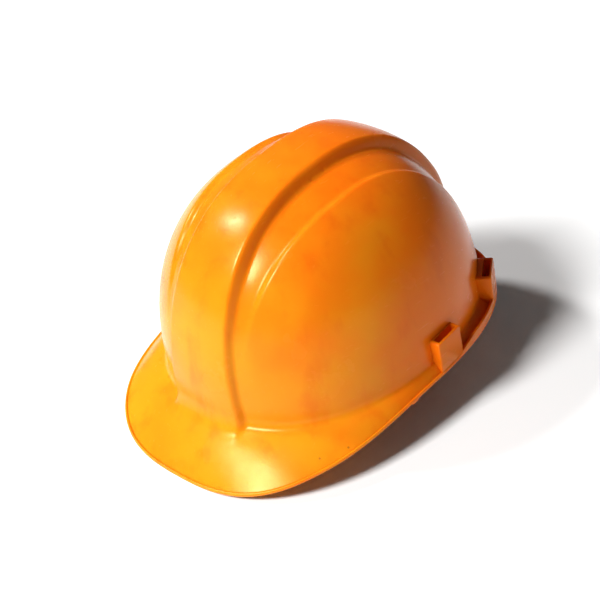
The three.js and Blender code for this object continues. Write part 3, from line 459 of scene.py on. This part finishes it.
class Nodes:
    """Small helper to write a node material from top to bottom."""

    def __init__(self, name):
        self.material = bpy.data.materials.new(name)
        self.material.use_nodes = True
        self.tree = self.material.node_tree
        self.tree.nodes.clear()
        self.output = self.add("ShaderNodeOutputMaterial")
        self.shader = self.add("ShaderNodeBsdfPrincipled")
        self.link(self.shader.outputs[0], self.output.inputs[0])
        self.place = self.add("ShaderNodeTexCoord").outputs["Object"]

    def add(self, kind, **settings):
        node = self.tree.nodes.new(kind)
        for key, value in settings.items():
            setattr(node, key, value)
        return node

    def link(self, source, target):
        self.tree.links.new(source, target)

    def noise(self, scale, detail=4.0, roughness=0.55, vector=None, distortion=0.0):
        node = self.add("ShaderNodeTexNoise")
        node.inputs["Scale"].default_value = scale
        node.inputs["Detail"].default_value = detail
        node.inputs["Roughness"].default_value = roughness
        node.inputs["Distortion"].default_value = distortion
        self.link(vector or self.place, node.inputs["Vector"])
        return node.outputs["Fac"]

    def stretch(self, scale, turn=(0, 0, 0), vector=None):
        node = self.add("ShaderNodeMapping")
        node.inputs["Scale"].default_value = scale
        node.inputs["Rotation"].default_value = turn
        self.link(vector or self.place, node.inputs["Vector"])
        return node.outputs[0]

    def band(self, value, low, high, start=0.0, end=1.0):
        """Value spread from low..high onto start..end, and held outside it."""
        node = self.add("ShaderNodeMapRange")
        node.interpolation_type = "SMOOTHSTEP"
        for key, number in (("From Min", low), ("From Max", high), ("To Min", start), ("To Max", end)):
            node.inputs[key].default_value = number
        self.link(value, node.inputs["Value"])
        return node.outputs[0]

    def math(self, operation, a, b):
        node = self.add("ShaderNodeMath", operation=operation)
        for socket, value in zip(node.inputs, (a, b)):
            if isinstance(value, (int, float)):
                socket.default_value = value
            else:
                self.link(value, socket)
        return node.outputs[0]

    def mix(self, factor, a, b, blend="MIX"):
        node = self.add("ShaderNodeMix", data_type="RGBA", blend_type=blend)
        if isinstance(factor, (int, float)):
            node.inputs[0].default_value = factor
        else:
            self.link(factor, node.inputs[0])
        for socket, value in ((node.inputs[6], a), (node.inputs[7], b)):
            if isinstance(value, tuple):
                socket.default_value = (*value, 1)
            else:
                self.link(value, socket)
        return node.outputs[2]

    def bump(self, height, distance, strength=1.0, after=None):
        node = self.add("ShaderNodeBump")
        node.inputs["Distance"].default_value = distance
        node.inputs["Strength"].default_value = strength
        self.link(height, node.inputs["Height"])
        if after:
            self.link(after, node.inputs["Normal"])
        return node.outputs[0]

    def set(self, **values):
        for key, value in values.items():
            self.shader.inputs[key.replace("_", " ")].default_value = value

    def colour(self, value):
        self.link(value, self.shader.inputs["Base Color"])

    def rough(self, value):
        self.link(value, self.shader.inputs["Roughness"])

    def normal(self, value):
        self.link(value, self.shader.inputs["Normal"])


def shell_plastic():
    """Glossy amber polyethylene with painted light: yellower towards its front and left, where the key
    light falls, and redder on the shaded side, with random mottling and specks of dirt.
    """
    n = Nodes("shell_plastic")
    split = n.add("ShaderNodeSeparateXYZ")
    n.link(n.place, split.inputs[0])
    # Painted light: distance along the front-left direction that the key light comes from.
    toward_key_light = n.math("ADD", n.math("MULTIPLY", split.outputs[0], -0.68),
                   n.math("MULTIPLY", split.outputs[1], -0.74))
    mottle_and_painted_light = n.math("ADD", n.band(n.noise(9, 3), 0.2, 0.8, 0.32, 0.68), n.math("MULTIPLY", toward_key_light, 1.3))
    # fade mixes random mottling with painted light. In the next line the first amber is the painted shade
    # and the second is the painted light.
    fade = n.band(mottle_and_painted_light, 0.34, 0.66)
    colour = n.mix(fade, (0.85, 0.165, 0.003), (0.82, 0.275, 0.007))
    streak = n.noise(60, 5, vector=n.stretch((1, 1, 0.35)))
    colour = n.mix(n.band(streak, 0.5, 0.75, 0, 0.45), colour, (0.74, 0.12, 0.003))
    speck = n.add("ShaderNodeTexVoronoi")
    speck.inputs["Scale"].default_value = 62
    n.link(n.place, speck.inputs["Vector"])
    dot = n.band(speck.outputs["Distance"], 0.03, 0.07, 1, 0)
    rare = n.band(n.noise(14, 2), 0.6, 0.66)
    colour = n.mix(n.math("MULTIPLY", n.math("MULTIPLY", dot, rare), 0.55), colour, (0.16, 0.045, 0.012))
    n.colour(colour)
    scratch = n.noise(9, 2, vector=n.stretch((60, 5, 60), (0.3, 0.5, 0.7)))
    scratch = n.band(scratch, 0.66, 0.72)
    wear = n.band(n.noise(22, 6), 0.4, 0.75, 0.21, 0.30)
    n.rough(n.math("ADD", wear, n.math("MULTIPLY", scratch, 0.12)))
    ripple = n.bump(n.noise(28, 2), 0.0006, 0.5)
    n.normal(n.bump(n.noise(700, 2), 0.00005, 0.6, ripple))
    n.set(IOR=1.5, Specular_IOR_Level=0.28, Specular_Tint=(1.0, 0.78, 0.36, 1))
    n.set(Subsurface_Weight=0.5, Subsurface_Scale=0.004, Subsurface_Radius=(1.0, 0.35, 0.08))
    return n.material


def satin_plastic(name, colour, shade, rough=0.42, grain=1400, depth=0.00004):
    """Moulded plastic with a fine spark-eroded grain and a slight change of tone."""
    n = Nodes(name)
    tone = n.mix(n.band(n.noise(24, 4), 0.35, 0.7), colour, shade)
    n.colour(tone)
    n.rough(n.band(n.noise(70, 5), 0.3, 0.75, rough - 0.06, rough + 0.1))
    flow = n.bump(n.noise(45, 2), 0.0003, 0.4)
    n.normal(n.bump(n.noise(grain, 3), depth, 0.8, flow))
    n.set(IOR=1.48)
    return n.material


def steel(name):
    n = Nodes(name)
    turned = n.noise(40, 4, vector=n.stretch((1, 40, 1)))
    n.colour(n.mix(turned, (0.62, 0.63, 0.65), (0.40, 0.41, 0.43)))
    n.rough(n.band(turned, 0.2, 0.8, 0.22, 0.42))
    n.normal(n.bump(turned, 0.00003, 0.6))
    n.set(Metallic=1.0)
    return n.material


def webbing():
    """Plain-woven strap. The UV map runs along and across the strap, in metres."""
    n = Nodes("webbing")
    uv = n.add("ShaderNodeUVMap", uv_map="weave").outputs[0]
    split = n.add("ShaderNodeSeparateXYZ")
    n.link(uv, split.inputs[0])
    along, across = split.outputs[0], split.outputs[1]

    def wave(value, pitch, shift=0.0):
        turn = n.math("MULTIPLY", value, 2 * math.pi / pitch)
        return n.math("SINE", n.math("ADD", turn, shift), 0)

    weft = wave(along, 0.0016)
    warp = wave(across, 0.0011)
    cross = n.math("MULTIPLY", weft, warp)
    height = n.math("MULTIPLY", n.math("ADD", cross, 1), 0.5)
    fuzz = n.noise(2600, 3)
    # Painted shade: the weave's low points are coloured darker and the raised yarns lighter.
    colour = n.mix(height, (0.42, 0.40, 0.36), (0.78, 0.76, 0.70))
    colour = n.mix(n.band(n.noise(60, 4), 0.45, 0.8, 0, 0.35), colour, (0.52, 0.48, 0.40))
    n.colour(n.mix(n.band(fuzz, 0.4, 0.7, 0, 0.25), colour, (0.88, 0.86, 0.80)))
    n.rough(n.band(fuzz, 0.2, 0.8, 0.78, 0.95))
    n.normal(n.bump(fuzz, 0.00008, 0.5, n.bump(height, 0.00022, 0.9)))
    n.set(Sheen_Weight=0.3, Sheen_Roughness=0.5)
    return n.material


def pad_fabric():
    """Brushed knitted cover over foam, dark grey, with rows of small breathing holes."""
    n = Nodes("pad_fabric")
    holes = n.add("ShaderNodeTexVoronoi", voronoi_dimensions="2D")
    holes.inputs["Scale"].default_value = 290
    holes.inputs["Randomness"].default_value = 0
    n.link(n.add("ShaderNodeUVMap", uv_map="weave").outputs[0], holes.inputs["Vector"])
    hole = n.band(holes.outputs["Distance"], 0.13, 0.20, 1, 0)
    knit = n.noise(1500, 3)
    base = n.mix(n.band(n.noise(35, 4), 0.35, 0.7), (0.035, 0.036, 0.040), (0.062, 0.063, 0.068))
    base = n.mix(n.band(knit, 0.35, 0.7, 0, 0.5), base, (0.115, 0.115, 0.12))
    n.colour(n.mix(hole, base, (0.006, 0.006, 0.007)))
    n.rough(n.band(knit, 0.2, 0.8, 0.82, 0.97))
    dimple = n.bump(n.math("SUBTRACT", 1, hole), 0.0004, 0.9)
    n.normal(n.bump(knit, 0.00012, 0.7, dimple))
    n.set(Sheen_Weight=0.35, Sheen_Roughness=0.6)
    return n.material


def binding_tape():
    """Ribbed dark tape sewn round the edge of a pad."""
    n = Nodes("binding_tape")
    fuzz = n.noise(1700, 3)
    n.colour(n.mix(fuzz, (0.022, 0.023, 0.026), (0.065, 0.066, 0.072)))
    n.rough(n.band(fuzz, 0.2, 0.8, 0.75, 0.95))
    n.normal(n.bump(fuzz, 0.00010, 0.8))
    n.set(Sheen_Weight=0.3, Sheen_Roughness=0.5)
    return n.material


def thread():
    n = Nodes("stitch_thread")
    twist = n.noise(900, 3)
    n.colour(n.mix(twist, (0.62, 0.60, 0.56), (0.86, 0.84, 0.80)))
    n.rough(n.band(twist, 0.2, 0.8, 0.6, 0.85))
    n.normal(n.bump(twist, 0.00005, 0.8))
    return n.material


SHELL_PLASTIC = shell_plastic()
WHITE_PLASTIC = satin_plastic("natural_white_plastic", (0.74, 0.71, 0.63), (0.63, 0.60, 0.52), 0.40)
BLACK_PLASTIC = satin_plastic("black_plastic", (0.022, 0.022, 0.025), (0.035, 0.035, 0.038), 0.45,
                              2200, 0.00006)
STEEL = steel("plated_steel")
WEBBING = webbing()
PAD_FABRIC = pad_fabric()
BINDING_TAPE = binding_tape()
THREAD = thread()


def finish_piece(obj, material, slot, body, *nodes):
    obj.data.materials.clear()
    obj.data.materials.append(material)
    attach(obj, body)
    if nodes:
        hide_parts(*nodes)
    return obj


# ------------------------------------------------------------------ soft pieces

def stitches(name, places, length, radius, frame_matrix):
    """Short rounded thread bars. places holds (point, direction, outward) in millimetres."""
    points, faces = [], []
    sides, rows = 6, 5
    for point, direction, outward in places:
        point, direction = np.array(point, float), np.array(direction, float)
        outward = np.array(outward, float)
        direction /= np.linalg.norm(direction)
        outward /= np.linalg.norm(outward)
        side = np.cross(direction, outward)
        start = len(points)
        for k in range(rows):
            t = k / (rows - 1) * 2 - 1
            swell = radius * math.sqrt(max(1 - (0.96 * t) ** 4, 0.05))
            rise = radius * 0.9 * (1 - t * t)
            centre = point + direction * t * length / 2 + outward * rise
            for s in range(sides):
                a = 2 * math.pi * s / sides
                points.append(centre + side * swell * math.cos(a) + outward * swell * math.sin(a))
        faces += grid_faces(rows, sides, wrap_columns=True, start=start)
        faces.append([start + s for s in range(sides)][::-1])
        faces.append([start + (rows - 1) * sides + s for s in range(sides)])
    return new_object(name, points, faces, frame_matrix)


def strap_path(theta_from, theta_to, raise_mm, steps):
    """Stations of a strap: centre, normal and width directions, and the length so far."""
    ends = []
    for theta in (theta_from, theta_to):
        place, outward = key_place(theta)
        foot = place.translation + outward * STRAP["r"]
        ends.append((Vector((foot.x, foot.y, 0)), Vector((-outward.y, outward.x, 0))))
    middle = (ends[0][0] + ends[1][0]) / 2
    flat = ends[1][0] - ends[0][0]
    half = flat.length / 2
    flat.normalize()
    square = Vector((-flat.y, flat.x, 0))
    ends = [(foot, across if across.dot(square) > 0 else -across) for foot, across in ends]
    height = STRAP["crown_z"] + raise_mm - STRAP["spring_z"]
    leg = np.linspace(STRAP["end_z"], STRAP["spring_z"], 14)[:-1]
    samples = [(0.0, z) for z in leg]
    samples += [(math.pi * k / steps, None) for k in range(steps + 1)]
    samples += [(math.pi, z) for z in leg[::-1]]
    stations, travelled, previous = [], 0.0, None
    for psi, leg_z in samples:
        centre = middle - flat * half * math.cos(psi)
        centre.z = STRAP["spring_z"] + height * math.sin(psi) if leg_z is None else leg_z
        along = flat * half * math.sin(psi)
        along.z = height * math.cos(psi)
        across = ends[0][1] if psi < math.pi / 2 else ends[1][1]
        width = across.lerp(square, float(smooth01(2 * math.sin(psi)))).normalized()
        normal = width.cross(along).normalized()
        if previous is not None:
            travelled += (centre - previous).length
        previous = centre
        stations.append((centre, normal, width, along.normalized(), travelled))
    return stations


def build_strap(name, theta_from, theta_to, raise_mm, node):
    stations = strap_path(theta_from, theta_to, raise_mm, 150)
    half, thick = STRAP["width"] / 2, STRAP["thick"] / 2
    columns = 28
    outline = []
    for k in range(columns + 1):
        u = -half + 2 * half * k / columns
        cord = 0.10 * math.cos(2 * math.pi * u / 2.4)
        edge = 1 - 0.55 * (abs(u) / half) ** 14
        outline.append((u, (thick - 0.12 + cord) * edge))
    outline += [(u, -v) for u, v in outline[::-1]]
    rings, uvs = [], []
    for centre, normal, width, _, travelled in stations:
        rings.append([tuple(centre + width * u + normal * v) for u, v in outline])
        uvs += [(travelled, u + half) for u, _ in outline]
    strap = add_weave(sweep(name, rings), uvs)
    finish_piece(strap, WEBBING, "webbing", "hat", node)

    places = []
    total = stations[-1][4]
    for centre, normal, width, along, travelled in sampled(stations, 2.4):
        inward = normal * -1
        near_end = min(travelled, total - travelled)
        for u in (-half + 1.6, half - 1.6):
            if 8 < near_end < 34:
                places.append((centre + width * u + inward * thick, along, inward))
    for end in (0, 1):
        for height_mm in (8, 21, 34):
            target = height_mm if end == 0 else total - height_mm
            station = min(stations, key=lambda s: abs(s[4] - target))
            centre, normal, width, along, _ = station
            for k in range(6):
                u = -half + 2.6 + k * (2 * half - 5.2) / 5
                places.append((centre + width * u - normal * thick, width, -normal))
    seam = stitches(name + "_stitches", places, 1.9, 0.28, HAT)
    finish_piece(seam, THREAD, "webbing", "hat")
    return strap


def sampled(stations, spacing):
    """Stations about spacing millimetres apart, interpolated along the strap."""
    result, target = [], 0.0
    for a, b in zip(stations, stations[1:]):
        while target <= b[4] and b[4] > a[4]:
            t = (target - a[4]) / (b[4] - a[4])
            if t < 0:
                target += spacing
                continue
            result.append((a[0].lerp(b[0], t), a[1].lerp(b[1], t).normalized(),
                           a[2].lerp(b[2], t).normalized(), a[3].lerp(b[3], t).normalized(), target))
            target += spacing
    return result


def crossing_y():
    front, front_out = key_place(KEY_ANGLES[0])
    rear, rear_out = key_place(KEY_ANGLES[1])
    a = front.translation + front_out * STRAP["r"]
    b = rear.translation + rear_out * STRAP["r"]
    return a.y + (b.y - a.y) * a.x / (a.x + b.x)


def build_crown_pad():
    """Round foam pad under the strap crossing, quilted in petals, with a bound edge."""
    radius, thick, bend, hole = (CROWN_PAD[k] for k in ("radius", "thick", "bend", "hole"))
    sectors, rows = 192, 44
    top_z = STRAP["crown_z"] - STRAP["thick"] / 2 - GAP
    centre_y = crossing_y()
    rings = []
    for k in range(rows):
        t = k / (rows - 1)
        r = hole + 0.4 + (radius - hole - 0.4) * t
        ring = []
        for s in range(sectors):
            a = 2 * math.pi * s / sectors
            petal = abs(math.cos(4 * a)) ** 0.35
            ringed = 1 - math.exp(-((r - 15) / 1.6) ** 2) * 0.55
            plump = petal if r > 15 else 1.0
            edge = math.sqrt(max(1 - t ** 10, 0.0))
            sag = math.sqrt(bend * bend - r * r) - bend
            body = (thick - 0.9) * edge * (0.66 + 0.34 * plump * ringed) + 0.9
            ring.append((r, a, sag, body))
        rings.append(ring)
    points = []
    for side in ("top", "bottom"):
        order = rings if side == "top" else rings[::-1]
        for ring in order:
            for r, a, sag, body in ring:
                z = top_z + sag - (0.15 if side == "top" else body)
                points.append((r * math.cos(a), centre_y + r * math.sin(a), z))
    faces = grid_faces(2 * rows, sectors, wrap_rows=True, wrap_columns=True)
    pad = add_weave(new_object("crown_pad_cover", points, faces), [(x, y) for x, y, _ in points])
    finish_piece(pad, PAD_FABRIC, "padding", "hat", "crown_pad")

    binding = []
    r = radius - 0.6
    sag = math.sqrt(bend * bend - r * r) - bend
    edge_rows, edge_sides = 192, 12
    for s in range(edge_rows):
        a = 2 * math.pi * s / edge_rows
        for k in range(edge_sides):
            b = 2 * math.pi * k / edge_sides
            reach = r - 0.4 + 0.95 * math.cos(b)
            binding.append((reach * math.cos(a), centre_y + reach * math.sin(a),
                            top_z + sag - 1.0 + 0.95 * math.sin(b)))
    piping = new_object("crown_pad_binding", binding,
                        grid_faces(edge_rows, edge_sides, wrap_rows=True, wrap_columns=True))
    finish_piece(piping, BINDING_TAPE, "padding", "hat")
    return pad


def pillow(position, pitch):
    """1 in the middle of each sewn cell and lower along its seams."""
    t = (position / pitch) % 1
    return abs(math.sin(math.pi * t)) ** 0.45


def build_brow_pad():
    """Sweatband: a row of sewn foam cells in front of the band, folded over its top edge."""
    half, thick, start, flap = 15.5, 4.5, 112, 7

    def outline(angle):
        fade = smooth01((angle - start) / 3.5) * smooth01((360 - start - angle) / 3.5)
        cell = pillow((angle - start) * math.radians(1) * HEAD_RADIUS, 19.0)
        points = []
        for z in np.linspace(-half + 0.5, half - 0.5, 30):
            t = z / half
            seam = 1 - 0.75 * math.exp(-((abs(z) - 12.4) / 0.8) ** 2)
            crown = (1 - abs(t) ** 7) * (0.5 + 0.5 * cell * seam)
            points.append((-GAP - 1.2 - (thick - 1.2) * crown * (0.35 + 0.65 * fade), z))
        points += [(-GAP - 0.9, half - 0.1), (-GAP, half), (2.6, half), (3.1, half - 0.4),
                   (3.2, half - 1.2), (3.2, half - flap + 0.5), (2.9, half - flap),
                   (2.2, half - flap), (1.9, half - flap + 0.4), (1.9, BAND_HALF + GAP),
                   (-GAP, BAND_HALF + GAP), (-GAP, -half + 0.3), (-GAP - 0.4, -half)]
        return points

    pad = head_strip("brow_pad_cover", start, 360 - start, outline, 0.5, 1.0)
    finish_piece(pad, PAD_FABRIC, "padding", "hat", "brow_pad")

    places = []
    for row_z in (-12.4, 12.4):
        for k in range(int((360 - 2 * start) / 2.1)):
            angle = start + 2.5 + 2.1 * k
            if angle > 360 - start - 2.5:
                break
            offset = -GAP - 1.2 - (thick - 1.2) * 0.66
            a = around_head(angle, offset, row_z)
            b = around_head(angle + 1, offset, row_z)
            inward = around_head(angle, offset - 1, row_z) - a
            places.append((a, b - a, inward))
    seam = stitches("brow_pad_stitches", places, 2.3, 0.24, BAND)
    finish_piece(seam, THREAD, "padding", "hat")
    return pad


def build_nape_pad():
    inner, outer, span, top, bottom = 72 - HEAD_RADIUS, 76.1 - HEAD_RADIUS, 27, 13, -25
    middle, half = (top + bottom) / 2, (top - bottom) / 2

    def outline(angle):
        side = 1 - abs(angle / span) ** 6
        cell = pillow(angle * math.radians(1) * HEAD_RADIUS + 9, 18.0)
        points = []
        for t in np.linspace(-0.98, 0.98, 32):
            seam = 1 - 0.6 * math.exp(-((abs(t) - 0.84) / 0.05) ** 2)
            crown = (1 - abs(t) ** 8) * (0.55 + 0.45 * cell * seam) * (0.4 + 0.6 * side)
            points.append((outer - 1.0 - (outer - inner - 1.0) * crown, middle + half * t))
        points += [(outer - 0.5, top), (outer, top - 0.4), (outer, bottom + 0.4), (outer - 0.5, bottom)]
        return points

    pad = head_strip("nape_pad_cover", -span, span, outline, 0.5, 1.5)
    finish_piece(pad, PAD_FABRIC, "padding", "hat", "nape_pad")
    return pad


# ------------------------------------------------------------------ ratchet

RIVETS = [(16.3 * a, 13.8 * z) for a in (1, -1) for z in (1, -1)]
RIVET_HOLE = 1.8
SHAFT_HOLE = 3.3
COVER = dict(inner=78.9, ceiling=83.1, outer=85.3, half_height=16, half_channel=11.6, span=19,
             corner=1.4, end_round=1.6)
COVER_RIB = dict(first=12.2, pitch=2.1, count=3, half_width=0.45, root=84.9, top=86.0, half_length=7.5)
BOSS = dict(radius=14.5, start=83.3, end=87.2)
COLLAR = dict(half=4.5, start=86.2, end=88.7)
CRADLE = dict(inner=76.4, outer=78.6, span=30, top=16, corner_drop=4)
CRADLE_RIB = dict(pitch=7.5, each_side=3, half_width=0.8, root=78.3, top=79.5, low=-38, high=-20)
KNOB_LOBES = 12


def rivet_cutters():
    cutters = []
    for angle, z in RIVETS:
        place = BAND @ Matrix.Translation((0, 0, z)) @ Matrix.Rotation(-math.radians(angle), 4, "Z")
        cutters.append(bar_y(RIVET_HOLE, 74, 88, place, 24))
    return cutters


def build_cover():
    inner, ceiling, outer = (COVER[k] - HEAD_RADIUS for k in ("inner", "ceiling", "outer"))
    height, channel = COVER["half_height"], COVER["half_channel"]
    corners = [(inner, -height), (outer, -height), (outer, height), (inner, height),
               (inner, channel), (ceiling, channel), (ceiling, -channel), (inner, -channel)]
    profile = rounded(corners, COVER["corner"], 5)
    span, end_round = COVER["span"], COVER["end_round"]
    cover = head_strip("ratchet_cover_shell", -span, span, lambda angle: profile, 1.0, end_round)
    boss = soften(bar_y(BOSS["radius"], BOSS["start"], BOSS["end"], BAND, 96), 0.5)
    half = COLLAR["half"]
    collar = block((-half, COLLAR["start"], -half), (half, COLLAR["end"], half), BAND, 0.3)
    cut_or_add(cover, boss, "UNION")
    cut_or_add(cover, collar, "UNION")
    ribs = []
    width, length = COVER_RIB["half_width"], COVER_RIB["half_length"]
    for side in (-1, 1):
        for k in range(COVER_RIB["count"]):
            angle = side * (COVER_RIB["first"] + COVER_RIB["pitch"] * k)
            place = BAND @ Matrix.Rotation(-math.radians(angle), 4, "Z")
            ribs.append(block((-width, COVER_RIB["root"], -length), (width, COVER_RIB["top"], length),
                              place, 0.25))
    cut_or_add(cover, join(ribs), "UNION")
    cut_or_add(cover, join([bar_y(SHAFT_HOLE, 78, 90, BAND, 48), *rivet_cutters()]), "DIFFERENCE")
    smooth_by_angle(cover, 40)
    cover.name = "ratchet_cover_shell"
    return finish_piece(cover, BLACK_PLASTIC, "black_plastic", "hat", "ratchet_cover")


def table_under(point):
    """Height in the band frame of the table under a point of the band."""
    tilt = BAND_TILT + FORWARD_LEAN
    origin = Matrix.Rotation(FORWARD_LEAN, 4, "X") @ BAND_ORIGIN
    return (-STAND.z - origin.z - point[1] * math.sin(tilt)) / math.cos(tilt)


def build_cradle():
    inner, outer = CRADLE["inner"] - HEAD_RADIUS, CRADLE["outer"] - HEAD_RADIUS
    half, top, corner = CRADLE["span"], CRADLE["top"], CRADLE["corner_drop"]

    def outline(angle):
        drop = corner * smooth01((abs(angle) - half + corner) / corner)
        low_in = table_under(around_head(angle, inner, 0))
        low_out = table_under(around_head(angle, outer, 0))
        return rounded([(inner, low_in), (outer, low_out), (outer, top - drop), (inner, top - drop)], 0.8)

    cradle = head_strip("nape_cradle_plate", -half, half, outline, 1.0, 0.7)
    ribs = []
    width, each_side = CRADLE_RIB["half_width"], CRADLE_RIB["each_side"]
    for k in range(-each_side, each_side + 1):
        if k == 0:
            continue
        place = BAND @ Matrix.Rotation(-math.radians(CRADLE_RIB["pitch"] * k), 4, "Z")
        ribs.append(block((-width, CRADLE_RIB["root"], CRADLE_RIB["low"]),
                          (width, CRADLE_RIB["top"], CRADLE_RIB["high"]), place, 0.35))
    cut_or_add(cradle, join(ribs), "UNION")
    cut_or_add(cradle, join([bar_y(SHAFT_HOLE, 74, 81, BAND, 48), *rivet_cutters()]), "DIFFERENCE")
    smooth_by_angle(cradle, 40)
    cradle.name = "nape_cradle_plate"
    return finish_piece(cradle, BLACK_PLASTIC, "black_plastic", "hat", "nape_cradle")


def build_knob():
    """Grip wheel with scalloped rim, dished face and a notched cavity for the detent spring."""
    sectors = 288
    profile = [  # radius, height on the shaft, share of the scallops, share of the notches
        (3.4, 95.2, 0, 0), (4.4, 95.2, 0, 0), (4.6, 95.4, 0, 0), (4.6, 97.0, 0, 0), (5.0, 97.3, 0, 0),
        (6.0, 97.2, 0, 0), (8.5, 96.7, 0, 0), (11.0, 96.7, 0.1, 0), (12.8, 97.2, 0.4, 0),
        (14.0, 97.5, 0.7, 0), (15.0, 97.4, 0.9, 0), (15.8, 97.0, 1, 0), (16.15, 96.4, 1, 0),
        (16.25, 95.6, 1, 0), (16.25, 92.5, 1, 0), (16.25, 89.4, 1, 0), (16.2, 88.4, 1, 0),
        (15.9, 87.8, 1, 0), (15.3, 87.5, 0.8, 0), (13.4, 87.5, 0.2, 0), (12.9, 87.6, 0, 0.6),
        (12.6, 87.9, 0, 1), (12.6, 90.4, 0, 1), (12.3, 90.7, 0, 1), (6.0, 90.7, 0, 0), (3.4, 90.7, 0, 0),
    ]
    points = []
    for s in range(sectors):
        a = 2 * math.pi * s / sectors
        scallop = 0.75 * math.cos(KNOB_LOBES * a) - 0.25 * math.cos(2 * KNOB_LOBES * a)
        notch = 0.35 * math.sin(2 * KNOB_LOBES * a)
        for r, y, lobes, notches in profile:
            reach = r + scallop * lobes + notch * notches
            points.append((reach * math.cos(a), y, reach * math.sin(a)))
    knob = new_object("ratchet_knob_grip", points,
                      grid_faces(sectors, len(profile), wrap_rows=True, wrap_columns=True), BAND)
    smooth_by_angle(knob, 50)
    return finish_piece(knob, BLACK_PLASTIC, "black_plastic", "ratchet_knob", "knob")


# ------------------------------------------------------------------ moulded copies

BODY_OF = {node: body for body, nodes in frame["record"]["behaviour"]["bodies"].items()
           for node in nodes}


def moulded_copy(node, rounding):
    """The CAD solid again, with its sharp edges rounded as moulded plastic has them."""
    source = frame["nodes"][node]
    obj = bpy.data.objects.new(node + "_moulding", source.data.copy())
    obj.matrix_world = source.matrix_world.copy()
    bpy.context.scene.collection.objects.link(obj)
    soften(obj, rounding, 2)
    smooth_by_angle(obj, 32)
    return finish_piece(obj, WHITE_PLASTIC, "white_plastic", BODY_OF[node], node)


# ------------------------------------------------------------------ build everything

shell = build_shell()
finish_piece(shell, SHELL_PLASTIC, "shell_plastic", "hat", "shell")

build_strap("crown_strap_lower_webbing", KEY_ANGLES[0], -KEY_ANGLES[1], 0, "crown_strap_lower")
build_strap("crown_strap_upper_webbing", -KEY_ANGLES[0], KEY_ANGLES[1], STRAP["crossing"],
            "crown_strap_upper")
build_crown_pad()
build_brow_pad()
build_nape_pad()
build_cover()
build_cradle()
build_knob()
for side in ("left", "right"):
    moulded_copy("band_sleeve_" + side, 0.4)
    moulded_copy("adjusting_arm_" + side, 0.2)
    for end in ("front", "rear"):
        moulded_copy(f"suspension_key_{end}_{side}", 0.3)
        moulded_copy(f"headband_hanger_{end}_{side}", 0.3)
moulded_copy("headband", 0.25)
moulded_copy("crown_rivet", 0.3)

CAD_LOOKS = {"white_plastic": WHITE_PLASTIC, "black_plastic": BLACK_PLASTIC, "screw_steel": STEEL,
             "shell_plastic": SHELL_PLASTIC, "webbing": WEBBING, "padding": PAD_FABRIC}
for subpart in frame["record"]["subparts"]:
    node = frame["nodes"][subpart["node"]]
    node.data.materials.clear()
    node.data.materials.append(CAD_LOOKS[subpart["material_slot"]])

# ------------------------------------------------------------------ floor, light and camera

FILL_LIGHT = 0.08
CAMERA = dict(azimuth=47.53, elevation=34.13, roll=-7.98, distance=1.20019,
              target=(0.02469, -0.02838, 0.0924), sensor=36, lens=104.93)


def build_floor():
    size = 6.0
    mesh = bpy.data.meshes.new("floor")
    mesh.from_pydata([(-size, -size, 0), (size, -size, 0), (size, size, 0), (-size, size, 0)], [],
                     [(0, 1, 2, 3)])
    floor = bpy.data.objects.new("floor", mesh)
    bpy.context.scene.collection.objects.link(floor)
    n = Nodes("floor_paper")
    n.colour(n.mix(n.noise(3, 2), (0.93, 0.93, 0.925), (0.95, 0.95, 0.945)))
    n.rough(n.band(n.noise(40, 3), 0.3, 0.7, 0.85, 0.95))
    n.set(Specular_IOR_Level=0.1)
    mesh.materials.append(n.material)


def softbox(name, azimuth, elevation, distance, size, power):
    """Square area light aimed at the hat. Azimuth 0 is in front of the brim."""
    a, e = math.radians(azimuth), math.radians(elevation)
    towards = Vector((math.sin(a) * math.cos(e), -math.cos(a) * math.cos(e), math.sin(e)))
    light = bpy.data.lights.new(name, "AREA")
    light.shape = "SQUARE"
    light.size = size
    light.energy = power
    obj = bpy.data.objects.new(name, light)
    obj.location = Vector((0, 0, 0.08)) + towards * distance
    obj.rotation_euler = towards.to_track_quat("Z", "Y").to_euler()
    bpy.context.scene.collection.objects.link(obj)


def build_camera():
    azimuth, elevation, roll = (math.radians(CAMERA[k]) for k in ("azimuth", "elevation", "roll"))
    distance, target = CAMERA["distance"], Vector(CAMERA["target"])
    back = Vector((math.sin(azimuth) * math.cos(elevation), -math.cos(azimuth) * math.cos(elevation),
                   math.sin(elevation)))
    right = Vector((math.cos(azimuth), math.sin(azimuth), 0))
    up = back.cross(right)
    turned_right = right * math.cos(roll) + up * math.sin(roll)
    turned_up = up * math.cos(roll) - right * math.sin(roll)
    data = bpy.data.cameras.new("camera")
    data.sensor_width = CAMERA["sensor"]
    data.lens = CAMERA["lens"]
    data.clip_end = 50
    camera = bpy.data.objects.new("camera", data)
    basis = Matrix((turned_right, turned_up, back)).transposed().to_4x4()
    camera.matrix_world = Matrix.Translation(target + back * distance) @ basis
    bpy.context.scene.collection.objects.link(camera)
    bpy.context.scene.camera = camera


build_floor()
softbox("key", azimuth=-12, elevation=45, distance=4.5, size=1.2, power=280)
softbox("window", azimuth=-62, elevation=51, distance=2.4, size=0.25, power=33)
world = bpy.data.worlds.new("studio")
world.use_nodes = True
world.node_tree.nodes["Background"].inputs[0].default_value = (1, 1, 1, 1)
world.node_tree.nodes["Background"].inputs[1].default_value = FILL_LIGHT
bpy.context.scene.world = world
bpy.context.scene.view_settings.view_transform = "Standard"
bpy.context.scene.view_settings.look = "None"
build_camera()
